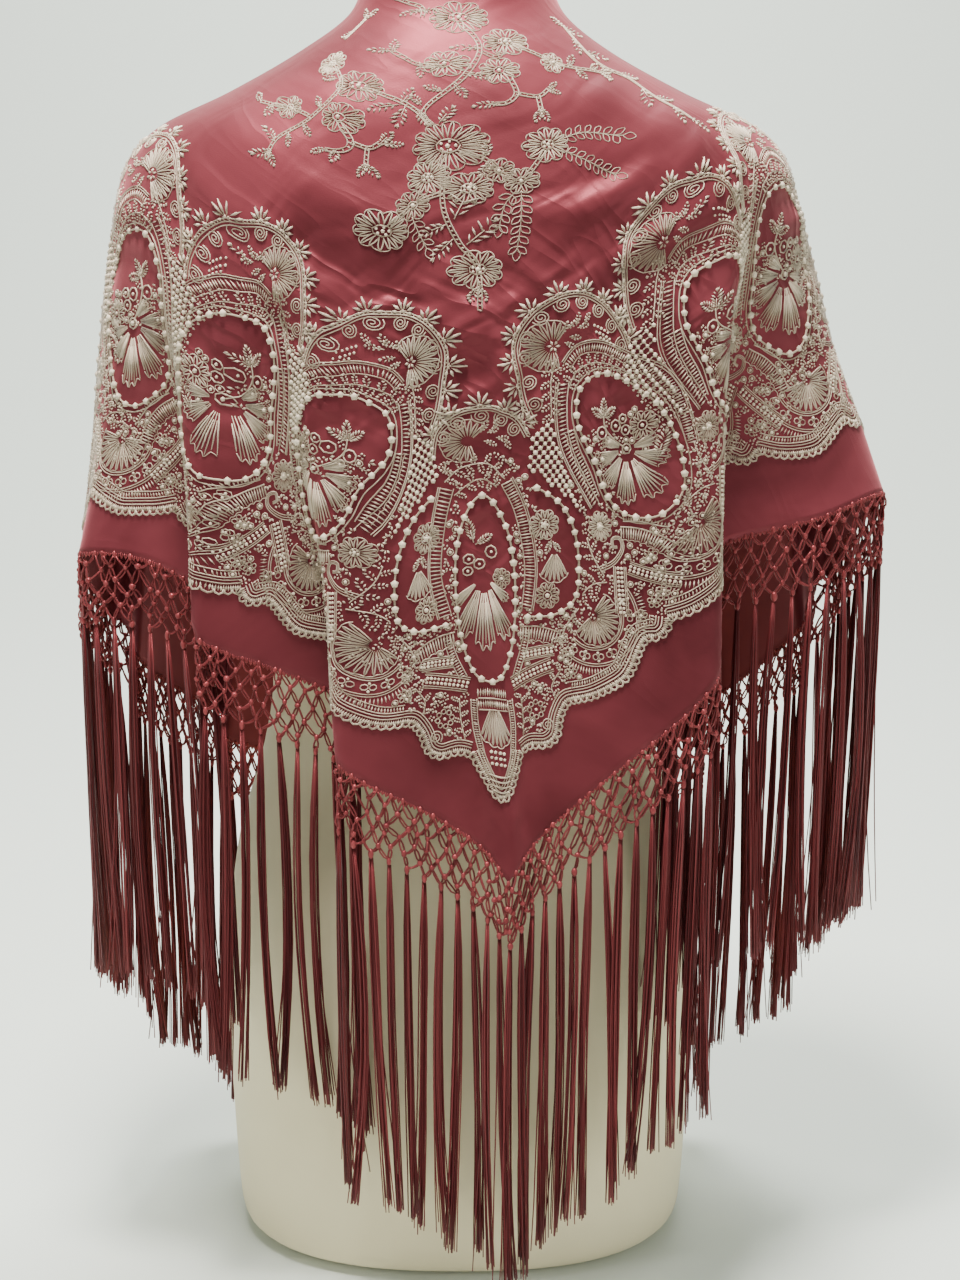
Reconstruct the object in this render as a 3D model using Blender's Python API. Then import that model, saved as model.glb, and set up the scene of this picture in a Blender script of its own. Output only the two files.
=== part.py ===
"""A triangular embroidered shawl with a knotted net and long fringe, worn by a limbless dress form.

Metres, +Z up. The form stands on z = 0 with its axis on the origin, and -Y is the wearer's back,
where the shawl's point hangs. The cloth is a thin wall that lies over neck and shoulders and hangs
from them in folds. Below its two short sides hang the net, and below the net the fringe.
"""

from collections import namedtuple
import math

import bpy
import numpy as np

# Driving sizes
CLOTH_THICKNESS = 0.0015
NET_DROP = 0.046
STRIP_DROP = 0.0032
STRAND_LENGTH = 0.250
STRANDS_A_SIDE = 66
ROOT_SHARE = 0.36
TIGHTEST_BEND = 50.0
SEAM_GAP = 0.0004
STRIP_GAP = 0.0018
REST_GAP = 0.0005
SHOULDER_GAP = 0.0060
TIP_HEIGHT = 0.325

# A strand's half width and half depth at shares of its length
STRAND_SECTIONS = ((0.45, 0.0030, 0.0020), (1.0, 0.0024, 0.0017))

# Where the cloth lies around the body, in degrees from the middle of the back
TIP_ANGLE = 12.0
FRONT_EDGE_ANGLE = 136.0
OVAL_POWER = 2.45

# How finely the walls are divided
SHOULDER_ROWS = 9
HANG_ROWS = 5
FORM_COLUMNS = 36

# The oval sections that the cloth lies on, from its top edge down to the upper arm. Half widths,
# half depths, and the height of each ring at the back, the sides and the front.
Ring = namedtuple("Ring", "name left right back front z_back z_side z_front")
SHOULDER_RINGS = (
    Ring("neck edge", 0.0600, 0.0600, 0.0640, 0.0600, 0.905, 0.898, 0.880),
    Ring("neck foot", 0.0700, 0.0700, 0.0780, 0.0660, 0.872, 0.873, 0.848),
    Ring("slope top", 0.1040, 0.1010, 0.1010, 0.0840, 0.838, 0.849, 0.815),
    Ring("slope middle", 0.1500, 0.1480, 0.1170, 0.1020, 0.803, 0.824, 0.782),
    Ring("slope end", 0.1970, 0.1960, 0.1270, 0.1150, 0.767, 0.802, 0.750),
    Ring("round over", 0.2195, 0.2195, 0.1330, 0.1230, 0.737, 0.779, 0.722),
    Ring("shoulder", 0.2290, 0.2310, 0.1360, 0.1270, 0.702, 0.745, 0.690),
    Ring("upper arm", 0.2370, 0.2430, 0.1380, 0.1300, 0.662, 0.705, 0.652),
)

# The hanging part below the last ring: share of the drop to the hem, and the oval there
Hang = namedtuple("Hang", "drop left right back front")
HANGING = (
    Hang(0.33, 0.2460, 0.2560, 0.1410, 0.1330),
    Hang(0.67, 0.2560, 0.2730, 0.1470, 0.1370),
    Hang(1.00, 0.2680, 0.2880, 0.1560, 0.1420),
)

# The hem's height along each short side. The run is measured in plan along the folded hem, from
# the point at the back to the point in front.
Hem = namedtuple("Hem", "run height")
LEFT_HEM = (
    Hem(0.000, TIP_HEIGHT),
    Hem(0.009, 0.3380),
    Hem(0.024, 0.3500),
    Hem(0.056, 0.3710),
    Hem(0.115, 0.4030),
    Hem(0.150, 0.4350),
    Hem(0.200, 0.4580),
    Hem(0.249, 0.4780),
    Hem(0.280, 0.5040),
    Hem(0.362, 0.5270),
    Hem(0.414, 0.5100),
    Hem(0.514, 0.4460),
    Hem(0.590, 0.3900),
    Hem(0.666, 0.3430),
    Hem(0.736, 0.3160),
)
RIGHT_HEM = (
    Hem(0.000, TIP_HEIGHT),
    Hem(0.009, 0.3380),
    Hem(0.023, 0.3530),
    Hem(0.064, 0.3910),
    Hem(0.137, 0.4490),
    Hem(0.170, 0.4840),
    Hem(0.203, 0.5160),
    Hem(0.302, 0.5490),
    Hem(0.365, 0.5600),
    Hem(0.420, 0.5300),
    Hem(0.500, 0.4570),
    Hem(0.573, 0.3930),
    Hem(0.640, 0.3440),
    Hem(0.709, 0.3160),
)

# Folds that turn back under themselves. Girth is measured round the body at the hem from the
# cloth's point, and is negative to the left. Lean moves a fold away from the point by that much
# girth for each ring above the hem. Start is the ring where the fold begins.
Fold = namedtuple("Fold", "name girth lean width depth overlap recover start")
FOLDS = (
    Fold("left of the back", -0.095, 0.015, 0.021, 0.028, 0.0235, 0.090, 6.5),
    Fold("left shoulder", -0.186, 0.014, 0.018, 0.028, 0.0170, 0.080, 5.2),
    Fold("left front", -0.395, 0.000, 0.027, 0.034, 0.0280, 0.080, 6.0),
    Fold("left front edge", -0.485, 0.000, 0.024, 0.030, 0.0250, 0.060, 6.2),
    Fold("right shoulder", 0.116, 0.015, 0.030, 0.048, 0.0380, 0.120, 4.2),
    Fold("right front", 0.355, 0.000, 0.027, 0.034, 0.0280, 0.080, 6.0),
    Fold("right front edge", 0.442, 0.000, 0.024, 0.030, 0.0250, 0.060, 6.2),
)

# Soft waves that stand out from the cloth, or in where their height is negative
Wave = namedtuple("Wave", "girth width height start")
WAVES = (
    Wave(0.000, 0.0130, 0.0110, 7.6),
    Wave(-0.060, 0.0240, 0.0050, 6.5),
    Wave(-0.185, 0.0200, 0.0060, 6.5),
    Wave(-0.272, 0.0130, 0.0060, 7.0),
    Wave(-0.305, 0.0130, -0.0060, 7.0),
    Wave(-0.355, 0.0220, -0.0060, 6.2),
    Wave(0.055, 0.0240, 0.0060, 6.8),
    Wave(0.105, 0.0200, -0.0040, 6.8),
    Wave(0.265, 0.0240, 0.0070, 6.4),
    Wave(0.310, 0.0180, -0.0060, 6.4),
)

# The dress form below its shoulders
FORM_RINGS = (
    Ring("base", 0.150, 0.150, 0.101, 0.101, 0.000, 0.000, 0.000),
    Ring("base edge", 0.162, 0.162, 0.113, 0.111, 0.006, 0.006, 0.006),
    Ring("thigh", 0.168, 0.168, 0.119, 0.115, 0.022, 0.022, 0.022),
    Ring("thigh top", 0.1715, 0.1715, 0.124, 0.117, 0.100, 0.100, 0.100),
    Ring("hip", 0.173, 0.173, 0.126, 0.117, 0.200, 0.200, 0.200),
    Ring("high hip", 0.162, 0.162, 0.117, 0.110, 0.300, 0.300, 0.300),
    Ring("belly", 0.142, 0.142, 0.099, 0.098, 0.370, 0.370, 0.370),
    Ring("waist", 0.1335, 0.1335, 0.090, 0.092, 0.430, 0.430, 0.430),
    Ring("ribs", 0.1420, 0.1420, 0.095, 0.105, 0.515, 0.515, 0.515),
    Ring("bust", 0.1540, 0.1540, 0.104, 0.117, 0.590, 0.590, 0.590),
    Ring("chest", 0.1660, 0.1660, 0.112, 0.110, 0.655, 0.660, 0.650),
    Ring("under shoulder", 0.1930, 0.1930, 0.121, 0.112, 0.700, 0.722, 0.688),
)
FORM_SHOULDER_START = 5.2
NECK_TOP = Ring("neck top", 0.0545, 0.0545, 0.0560, 0.0560, 0.948, 0.948, 0.948)
NECK_EDGE_RADIUS = 0.006


# Interpolation

def smooth_rows(rows, at):
    """The Catmull-Rom curve through rows, read at fractional row numbers."""
    rows = np.asarray(rows, float)
    at = np.clip(np.asarray(at, float), 0, len(rows) - 1)
    low = np.minimum(at.astype(int), len(rows) - 2)
    t = (at - low).reshape((-1,) + (1,) * (rows.ndim - 1))
    before = rows[np.maximum(low - 1, 0)]
    start = rows[low]
    end = rows[low + 1]
    after = rows[np.minimum(low + 2, len(rows) - 1)]
    linear = (end - before) * t
    square = (2 * before - 5 * start + 4 * end - after) * t**2
    cube = (3 * start - before - 3 * end + after) * t**3
    return 0.5 * (2 * start + linear + square + cube)


def smooth_table(x, xs, ys):
    """A cubic through each pair of a table's points, with matching slopes where they meet."""
    xs, ys = np.asarray(xs, float), np.asarray(ys, float)
    slope = np.gradient(ys, xs)
    low = np.clip(np.searchsorted(xs, x, side="right") - 1, 0, len(xs) - 2)
    step = xs[low + 1] - xs[low]
    t = (x - xs[low]) / step
    start = (1 + 2 * t) * (1 - t) ** 2 * ys[low] + t * (1 - t) ** 2 * step * slope[low]
    end = t**2 * (3 - 2 * t) * ys[low + 1] - t**2 * (1 - t) * step * slope[low + 1]
    return start + end


def eased(t):
    """0 to 1 with level ends."""
    t = np.clip(t, 0, 1)
    return t * t * (3 - 2 * t)


# The ovals round the body

def oval_radius(angle, ring):
    side = np.where(np.sin(angle) < 0, ring.left, ring.right)
    depth = np.where(np.cos(angle) > 0, ring.back, ring.front)
    across = (np.abs(np.sin(angle)) / side) ** OVAL_POWER
    along = (np.abs(np.cos(angle)) / depth) ** OVAL_POWER
    return (across + along) ** (-1 / OVAL_POWER)


def ring_height(angle, ring):
    middle = np.where(np.cos(angle) > 0, ring.z_back, ring.z_front)
    return ring.z_side * np.sin(angle) ** 2 + middle * np.cos(angle) ** 2


def ring_points(angle, ring, height):
    radius = oval_radius(angle, ring)
    return np.stack([radius * np.sin(angle), -radius * np.cos(angle), height], axis=-1)


def girth_table():
    """Angles round the body, with the distance round the hanging oval from the cloth's point."""
    angle = np.radians(np.linspace(-FRONT_EDGE_ANGLE, FRONT_EDGE_ANGLE, 1089))
    radius = oval_radius(angle, HANGING[0])
    x, y = radius * np.sin(angle), -radius * np.cos(angle)
    steps = np.hypot(np.diff(x), np.diff(y))
    girth = np.concatenate([[0], np.cumsum(steps)])
    return angle, girth - np.interp(math.radians(TIP_ANGLE), angle, girth)


GIRTH_ANGLES, GIRTHS = girth_table()


# The cloth's inner surface

LAST_ROW = len(SHOULDER_RINGS) + len(HANGING) - 1


def growth(at, start):
    """How far a fold has opened at each ring number, from 0 at its start to 1 at the hem."""
    return eased((at - start) / (LAST_ROW - start) * 0.5) * 2


def fold_offsets(girth, at):
    """How far the folds move the cloth outwards and along the girth, as two grids."""
    out = np.zeros((len(at), len(girth)))
    along = np.zeros_like(out)
    above_hem = (LAST_ROW - np.asarray(at, float))[:, None]
    for fold in FOLDS:
        way = math.copysign(1, fold.girth)
        distance = girth[None] * way - abs(fold.girth) - fold.lean * above_hem
        share = distance / fold.width
        sunk = eased((share + 1) / 2) * (1 - eased(distance / fold.recover - 0.2))
        turned = share * np.exp(0.5 * (1 - share**2))
        open_by = growth(at, fold.start)[:, None]
        out -= fold.depth * open_by * sunk
        along -= fold.overlap * way * open_by * turned
    for wave in WAVES:
        bump = np.exp(-(((girth - wave.girth) / wave.width) ** 2))
        out += wave.height * growth(at, wave.start)[:, None] * bump
    return out, along


def hem_runs():
    """The plan length of the folded hem at each of GIRTHS, from the cloth's point."""
    plan = ring_points(GIRTH_ANGLES, HANGING[-1], np.zeros(len(GIRTHS)))[:, :2]
    along = np.gradient(plan, axis=0)
    along /= np.linalg.norm(along, axis=1, keepdims=True)
    outward = np.stack([along[:, 1], -along[:, 0]], axis=-1)
    out, sideways = fold_offsets(GIRTHS, np.array([float(LAST_ROW)]))
    plan = plan + out[0][:, None] * outward + sideways[0][:, None] * along
    run = np.concatenate([[0], np.cumsum(np.hypot(*np.diff(plan, axis=0).T))])
    return run - np.interp(0.0, GIRTHS, run)


HEM_RUNS = hem_runs()


def hem_height(girth):
    run = np.interp(girth, GIRTHS, HEM_RUNS)
    left = smooth_table(-run, [h.run for h in LEFT_HEM], [h.height for h in LEFT_HEM])
    right = smooth_table(run, [h.run for h in RIGHT_HEM], [h.height for h in RIGHT_HEM])
    return np.where(girth < 0, left, right)


def cloth_base(girth, at):
    """The cloth without folds, as a grid of rows at ring numbers and columns at girths."""
    angle = np.interp(girth, GIRTHS, GIRTH_ANGLES)
    rows = [ring_points(angle, ring, ring_height(angle, ring)) for ring in SHOULDER_RINGS]
    last = ring_height(angle, SHOULDER_RINGS[-1])
    for hang in HANGING:
        height = last + hang.drop * (hem_height(girth) - last)
        rows.append(ring_points(angle, hang, height))
    return smooth_rows(np.array(rows), at)


def cloth_surface(girth, at):
    """The cloth's inner surface with its folds."""
    base = cloth_base(girth, at)
    step = 0.0005
    ahead = cloth_base(np.minimum(girth + step, GIRTHS[-1]), at)
    behind = cloth_base(np.maximum(girth - step, GIRTHS[0]), at)
    along = (ahead - behind)[..., :2]
    along /= np.linalg.norm(along, axis=-1, keepdims=True)
    outward = np.stack([along[..., 1], -along[..., 0]], axis=-1)
    out, sideways = fold_offsets(girth, at)
    points = base.copy()
    points[..., :2] += out[..., None] * outward + sideways[..., None] * along
    return points


def grid_normals(points):
    """Unit normals of a grid of points, facing away from the body."""
    across = np.gradient(points, axis=1)
    down = np.gradient(points, axis=0)
    normal = np.cross(down, across)
    return normal / np.linalg.norm(normal, axis=-1, keepdims=True)


def column_girths():
    """Girths of the wall's columns, evenly spaced along the hem, one cell for each strand."""
    fine = np.linspace(GIRTHS[0], GIRTHS[-1], 2801)
    hem = cloth_surface(fine, np.array([float(LAST_ROW)]))[0]
    run = np.concatenate([[0], np.cumsum(np.linalg.norm(np.diff(hem, axis=0), axis=1))])
    tip = np.interp(0.0, fine, run)
    left = np.linspace(0, tip, STRANDS_A_SIDE + 1)
    right = np.linspace(tip, run[-1], STRANDS_A_SIDE + 1)[1:]
    girth = np.interp(np.concatenate([left, right]), run, fine)
    girth[STRANDS_A_SIDE] = 0.0
    return girth


def row_numbers():
    """Ring numbers of the wall's rows."""
    shoulder_end = len(SHOULDER_RINGS) - 1
    shoulder = np.linspace(0, shoulder_end, SHOULDER_ROWS + 1)
    hanging = np.linspace(shoulder_end, LAST_ROW, HANG_ROWS + 1)
    return np.concatenate([shoulder, hanging[1:]])


# Solids

def add_solid(name, points, faces, material):
    mesh = bpy.data.meshes.new(name)
    mesh.from_pydata([tuple(p) for p in points], [], faces)
    mesh.materials.append(material)
    mesh.shade_smooth()
    mesh.set_sharp_from_angle(angle=math.radians(50))
    solid = bpy.data.objects.new(name, mesh)
    bpy.context.scene.collection.objects.link(solid)
    return solid


def add_wall(name, inner, outer, material):
    """A closed wall between two grids whose rows run down and whose columns run left to right."""
    rows, columns = inner.shape[:2]
    points = np.concatenate([inner.reshape(-1, 3), outer.reshape(-1, 3)])
    count = rows * columns

    def at(row, column, side):
        return side * count + row * columns + column

    faces = []
    for i in range(rows - 1):
        for j in range(columns - 1):
            faces.append((at(i, j, 1), at(i + 1, j, 1), at(i + 1, j + 1, 1), at(i, j + 1, 1)))
            faces.append((at(i, j, 0), at(i, j + 1, 0), at(i + 1, j + 1, 0), at(i + 1, j, 0)))
    for j in range(columns - 1):
        last = rows - 1
        faces.append((at(0, j, 0), at(0, j, 1), at(0, j + 1, 1), at(0, j + 1, 0)))
        faces.append((at(last, j, 0), at(last, j + 1, 0), at(last, j + 1, 1), at(last, j, 1)))
    for i in range(rows - 1):
        last = columns - 1
        faces.append((at(i, 0, 0), at(i + 1, 0, 0), at(i + 1, 0, 1), at(i, 0, 1)))
        faces.append((at(i, last, 0), at(i, last, 1), at(i + 1, last, 1), at(i + 1, last, 0)))
    return add_solid(name, points, faces, material)


def add_cloth(girth, material):
    inner = cloth_surface(girth, row_numbers())
    outer = inner + CLOTH_THICKNESS * grid_normals(inner)
    add_wall("shawl_cloth", inner, outer, material)
    return inner[-1], outer[-1]


def add_nets(hem_inner, hem_outer, material):
    """A plain band below each short side, on the hem's own points. Gives each band's lower edges."""
    lower_edges = {}
    for name, way, part in (
        ("left", -1, slice(0, STRANDS_A_SIDE + 1)),
        ("right", 1, slice(STRANDS_A_SIDE, None)),
    ):
        tip, beside = (-1, -2) if way < 0 else (0, 1)
        top_edges = []
        for hem in (hem_inner, hem_outer):
            edge = hem[part] - np.array([0, 0, SEAM_GAP])
            towards = edge[beside] - edge[tip]
            edge[tip] += towards / np.linalg.norm(towards) * SEAM_GAP
            top_edges.append(edge)
        down = np.array([[[0, 0, 0]], [[0, 0, -NET_DROP]]])
        add_wall(f"net_{name}", top_edges[0] + down, top_edges[1] + down, material)
        lower_edges[name] = [edge + down[1] for edge in top_edges]
    return lower_edges


def add_strand(points, faces, ring, along, out, tip):
    """A four-sided strand from a ring of points on the strip down to its blunt end."""
    start = np.mean([points[i] for i in ring], axis=0)
    for share, wide, deep in STRAND_SECTIONS:
        centre = start + (tip - start) * np.array([share**2, share**2, share])
        first = len(points)
        points += [
            centre - along * wide + out * deep,
            centre + along * wide + out * deep,
            centre + along * wide - out * deep,
            centre - along * wide - out * deep,
        ]
        below = list(range(first, first + 4))
        for i in range(4):
            j = (i + 1) % 4
            faces.append((ring[i], below[i], below[j], ring[j]))
        ring = below
    faces.append(tuple(ring[::-1]))


def with_root_ends(line):
    """Adds a point inside each piece of a line, where the strand that starts the piece ends."""
    ends = line[:-1] + ROOT_SHARE * (line[1:] - line[:-1])
    return np.concatenate([np.stack([line[:-1], ends], axis=1).reshape(-1, 3), line[-1:]])


def sharp_turns(line):
    """Whether each piece of a line lies beside a bend too tight in plan for a strand."""
    way = np.diff(line[:, :2], axis=0)
    way /= np.linalg.norm(way, axis=1, keepdims=True)
    bend = np.concatenate([[0], np.arccos(np.clip((way[1:] * way[:-1]).sum(1), -1, 1)), [0]])
    return np.maximum(bend[1:], bend[:-1]) > math.radians(TIGHTEST_BEND)


def add_fringe(name, inner_edge, outer_edge, material, rng):
    """A narrow strip under one net with the strands of the fringe growing from it."""
    inner = with_root_ends(inner_edge) - np.array([0, 0, STRIP_GAP])
    outer = with_root_ends(outer_edge) - np.array([0, 0, STRIP_GAP])
    line = (inner + outer) / 2
    turned_sharply = sharp_turns(line[::2])
    drop = np.array([0, 0, -STRIP_DROP])
    points = [*outer, *inner, *(outer + drop), *(inner + drop)]
    n = len(line)
    outer_top, inner_top, outer_low, inner_low = 0, n, 2 * n, 3 * n
    end = n - 1
    faces = [
        (outer_top, inner_top, inner_low, outer_low),
        (outer_top + end, outer_low + end, inner_low + end, inner_top + end),
    ]
    for i in range(n - 1):
        j = i + 1
        faces.append((outer_top + i, outer_low + i, outer_low + j, outer_top + j))
        faces.append((inner_top + i, inner_top + j, inner_low + j, inner_low + i))
        faces.append((outer_top + i, outer_top + j, inner_top + j, inner_top + i))
        along = (line[j] - line[i]) * np.array([1, 1, 0])
        along /= np.linalg.norm(along)
        if i % 2 == 1 or turned_sharply[i // 2]:
            faces.append((outer_low + i, inner_low + i, inner_low + j, outer_low + j))
            continue
        out = np.array([along[1], -along[0], 0])
        length = STRAND_LENGTH * (1 + rng.uniform(-0.014, 0.004))
        sway = along * rng.uniform(-0.0015, 0.0015) + out * rng.uniform(0, 0.002)
        tip = (line[i] + line[j]) / 2 + sway - np.array([0, 0, length])
        ring = [outer_low + i, outer_low + j, inner_low + j, inner_low + i]
        add_strand(points, faces, ring, along, out, tip)
    return add_solid(name, points, faces, material)


# The dress form

def form_sections():
    """The form's closed rings from base to neck. Its shoulders lie just under the cloth."""
    angle = np.radians(np.arange(FORM_COLUMNS) * 360 / FORM_COLUMNS - 180)
    lower = np.array([ring_points(angle, r, ring_height(angle, r)) for r in FORM_RINGS])
    shoulder_at = row_numbers()[row_numbers() <= FORM_SHOULDER_START]
    rings = np.array([ring_points(angle, r, ring_height(angle, r)) for r in SHOULDER_RINGS])
    shoulder = smooth_rows(rings, shoulder_at)
    closed = np.concatenate([shoulder[:, -1:], shoulder, shoulder[:, :1]], axis=1)
    gap = REST_GAP + (SHOULDER_GAP - REST_GAP) * eased(shoulder_at / FORM_SHOULDER_START)
    shoulder = shoulder - gap[:, None, None] * grid_normals(closed)[:, 1:-1]
    top = ring_points(angle, NECK_TOP, ring_height(angle, NECK_TOP))
    rounded = top.copy()
    rounded[:, 2] -= NECK_EDGE_RADIUS
    top[:, :2] *= 1 - NECK_EDGE_RADIUS / NECK_TOP.back
    return np.concatenate([lower, shoulder[::-1], rounded[None], top[None]])


def add_form(material):
    sections = form_sections()
    count, columns = sections.shape[:2]
    faces = [tuple(range(columns))[::-1], tuple((count - 1) * columns + j for j in range(columns))]
    for i in range(count - 1):
        for j in range(columns):
            k = (j + 1) % columns
            low, high = i * columns, (i + 1) * columns
            faces.append((low + j, low + k, high + k, high + j))
    return add_solid("dress_form", sections.reshape(-1, 3), faces, material)


# Materials

def plain_material(name, colour, roughness):
    material = bpy.data.materials.new(name)
    material.use_nodes = True
    shader = material.node_tree.nodes["Principled BSDF"]
    shader.inputs["Base Color"].default_value = (*colour, 1)
    shader.inputs["Roughness"].default_value = roughness
    shader.inputs["Metallic"].default_value = 0
    return material


def clear_scene():
    for found in list(bpy.data.objects):
        bpy.data.objects.remove(found)


def main():
    clear_scene()
    rng = np.random.default_rng(11)
    satin = plain_material("rose_satin", (0.42, 0.09, 0.11), 0.45)
    cord = plain_material("rose_cord", (0.30, 0.06, 0.075), 0.5)
    cream = plain_material("cream_form", (0.78, 0.70, 0.54), 0.6)
    hem_inner, hem_outer = add_cloth(column_girths(), satin)
    for name, (inner, outer) in add_nets(hem_inner, hem_outer, cord).items():
        add_fringe(f"fringe_{name}", inner, outer, cord, rng)
    add_form(cream)


main()
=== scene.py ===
import math
from collections import namedtuple
import bpy
import numpy as np
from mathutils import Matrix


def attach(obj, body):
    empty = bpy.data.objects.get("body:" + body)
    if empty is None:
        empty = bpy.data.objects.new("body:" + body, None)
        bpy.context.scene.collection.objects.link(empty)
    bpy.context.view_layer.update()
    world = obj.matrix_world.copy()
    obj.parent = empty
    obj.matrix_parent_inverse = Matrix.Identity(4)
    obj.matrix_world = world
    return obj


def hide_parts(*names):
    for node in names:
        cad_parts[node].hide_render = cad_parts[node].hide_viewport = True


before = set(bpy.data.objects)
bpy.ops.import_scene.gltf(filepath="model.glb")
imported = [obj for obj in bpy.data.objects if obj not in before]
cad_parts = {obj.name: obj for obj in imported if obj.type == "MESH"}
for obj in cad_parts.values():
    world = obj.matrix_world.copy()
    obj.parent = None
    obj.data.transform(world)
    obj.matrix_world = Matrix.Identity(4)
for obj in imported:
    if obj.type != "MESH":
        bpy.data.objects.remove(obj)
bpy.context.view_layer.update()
scene = bpy.context.scene

# Camera: it stands behind the form, level with the shoulder blades, and looks down a little
view = {"place": (0.015, -1.30, 0.77), "down": 14.0, "lens": 52.26}
cameraData = bpy.data.cameras.new("camera")
cameraData.lens = view["lens"]
cameraData.sensor_width = 36.0
camera = bpy.data.objects.new("camera", cameraData)
camera.location = view["place"]
camera.rotation_euler = (math.radians(90 - view["down"]), 0, 0)
scene.collection.objects.link(camera)
scene.camera = camera

# Sizes of the hidden solids, so that the visible cloth lies where they do. Metres.
clothThickness = 0.0012
netDrop = 0.046
stripDrop = 0.0032
strandLength = 0.250
tassels = 66  # on each short side
seamGap = 0.0004
stripGap = 0.0018
tipHeight = 0.325
tipAngle = 12.0
frontAngle = 136.0
ovalPower = 2.45

Ring = namedtuple("Ring", "left right back front zBack zSide zFront")
shoulderRings = (
    Ring(0.0600, 0.0600, 0.0640, 0.0600, 0.905, 0.898, 0.880),
    Ring(0.0700, 0.0700, 0.0780, 0.0660, 0.872, 0.873, 0.848),
    Ring(0.1040, 0.1010, 0.1010, 0.0840, 0.838, 0.849, 0.815),
    Ring(0.1500, 0.1480, 0.1170, 0.1020, 0.803, 0.824, 0.782),
    Ring(0.1970, 0.1960, 0.1270, 0.1150, 0.767, 0.802, 0.750),
    Ring(0.2195, 0.2195, 0.1330, 0.1230, 0.737, 0.779, 0.722),
    Ring(0.2290, 0.2310, 0.1360, 0.1270, 0.702, 0.745, 0.690),
    Ring(0.2370, 0.2430, 0.1380, 0.1300, 0.662, 0.705, 0.652),
)
Hang = namedtuple("Hang", "drop left right back front")
hanging = (
    Hang(0.33, 0.2460, 0.2560, 0.1410, 0.1330),
    Hang(0.67, 0.2560, 0.2730, 0.1470, 0.1370),
    Hang(1.00, 0.2680, 0.2880, 0.1560, 0.1420),
)
leftHem = (  # run along the hem in plan, height
    (0.000, tipHeight), (0.009, 0.3380), (0.024, 0.3500), (0.056, 0.3710), (0.115, 0.4030),
    (0.150, 0.4350), (0.200, 0.4580), (0.249, 0.4780), (0.280, 0.5040), (0.362, 0.5270),
    (0.414, 0.5100), (0.514, 0.4460), (0.590, 0.3900), (0.666, 0.3430), (0.736, 0.3160),
)
rightHem = (
    (0.000, tipHeight), (0.009, 0.3380), (0.023, 0.3530), (0.064, 0.3910), (0.137, 0.4490),
    (0.170, 0.4840), (0.203, 0.5160), (0.302, 0.5490), (0.365, 0.5600), (0.420, 0.5300),
    (0.500, 0.4570), (0.573, 0.3930), (0.640, 0.3440), (0.709, 0.3160),
)
Fold = namedtuple("Fold", "girth lean width depth overlap recover start")
folds = (
    Fold(-0.095, 0.015, 0.021, 0.028, 0.0235, 0.090, 6.5),
    Fold(-0.186, 0.014, 0.018, 0.028, 0.0170, 0.080, 5.2),
    Fold(-0.395, 0.000, 0.027, 0.034, 0.0280, 0.080, 6.0),
    Fold(-0.485, 0.000, 0.024, 0.030, 0.0250, 0.060, 6.2),
    Fold(0.116, 0.015, 0.030, 0.048, 0.0380, 0.120, 4.2),
    Fold(0.355, 0.000, 0.027, 0.034, 0.0280, 0.080, 6.0),
    Fold(0.442, 0.000, 0.024, 0.030, 0.0250, 0.060, 6.2),
)
Wave = namedtuple("Wave", "girth width height start")
waves = (
    Wave(0.000, 0.0130, 0.0110, 7.6),
    Wave(-0.060, 0.0240, 0.0050, 6.5),
    Wave(-0.185, 0.0200, 0.0060, 6.5),
    Wave(-0.272, 0.0130, 0.0060, 7.0),
    Wave(-0.305, 0.0130, -0.0060, 7.0),
    Wave(-0.355, 0.0220, -0.0060, 6.2),
    Wave(0.055, 0.0240, 0.0060, 6.8),
    Wave(0.105, 0.0200, -0.0040, 6.8),
    Wave(0.265, 0.0240, 0.0070, 6.4),
    Wave(0.310, 0.0180, -0.0060, 6.4),
)
lastRow = len(shoulderRings) + len(hanging) - 1


# The cloth's base form, ring by ring

def smoothRows(rows, at):
    # Catmull-Rom curve through rows, read at fractional row numbers
    rows = np.asarray(rows, float)
    at = np.clip(np.asarray(at, float), 0, len(rows) - 1)
    low = np.minimum(at.astype(int), len(rows) - 2)
    t = (at - low).reshape((-1,) + (1,) * (rows.ndim - 1))
    before, start = rows[np.maximum(low - 1, 0)], rows[low]
    end, after = rows[low + 1], rows[np.minimum(low + 2, len(rows) - 1)]
    linear = (end - before) * t
    square = (2 * before - 5 * start + 4 * end - after) * t**2
    cube = (3 * start - before - 3 * end + after) * t**3
    return 0.5 * (2 * start + linear + square + cube)


def smoothTable(x, table):
    # cubic Hermite curve through (x, y) pairs
    xs, ys = np.array(table).T
    slope = np.gradient(ys, xs)
    low = np.clip(np.searchsorted(xs, x, side="right") - 1, 0, len(xs) - 2)
    step = xs[low + 1] - xs[low]
    t = (x - xs[low]) / step
    start = (1 + 2 * t) * (1 - t) ** 2 * ys[low] + t * (1 - t) ** 2 * step * slope[low]
    end = t**2 * (3 - 2 * t) * ys[low + 1] - t**2 * (1 - t) * step * slope[low + 1]
    return start + end


def eased(t):
    # 3 t^2 - 2 t^3, held at 0 and 1
    t = np.clip(t, 0, 1)
    return t * t * (3 - 2 * t)


def unit(vectors):
    # every vector divided by its length
    return vectors / np.maximum(np.linalg.norm(vectors, axis=-1, keepdims=True), 1e-9)


def quarterTurn(flat):
    # flat vectors turned a quarter to the right
    return np.stack([flat[..., 1], -flat[..., 0]], axis=-1)


def distances(path):
    # how far along the path each of its points lies
    return np.concatenate([[0], np.cumsum(np.linalg.norm(np.diff(path, axis=0), axis=1))])


def readAt(at, run, rows):
    # rows, given at the distances run, read at the distances at
    return np.stack([np.interp(at, run, column) for column in rows.T], axis=1)


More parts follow.
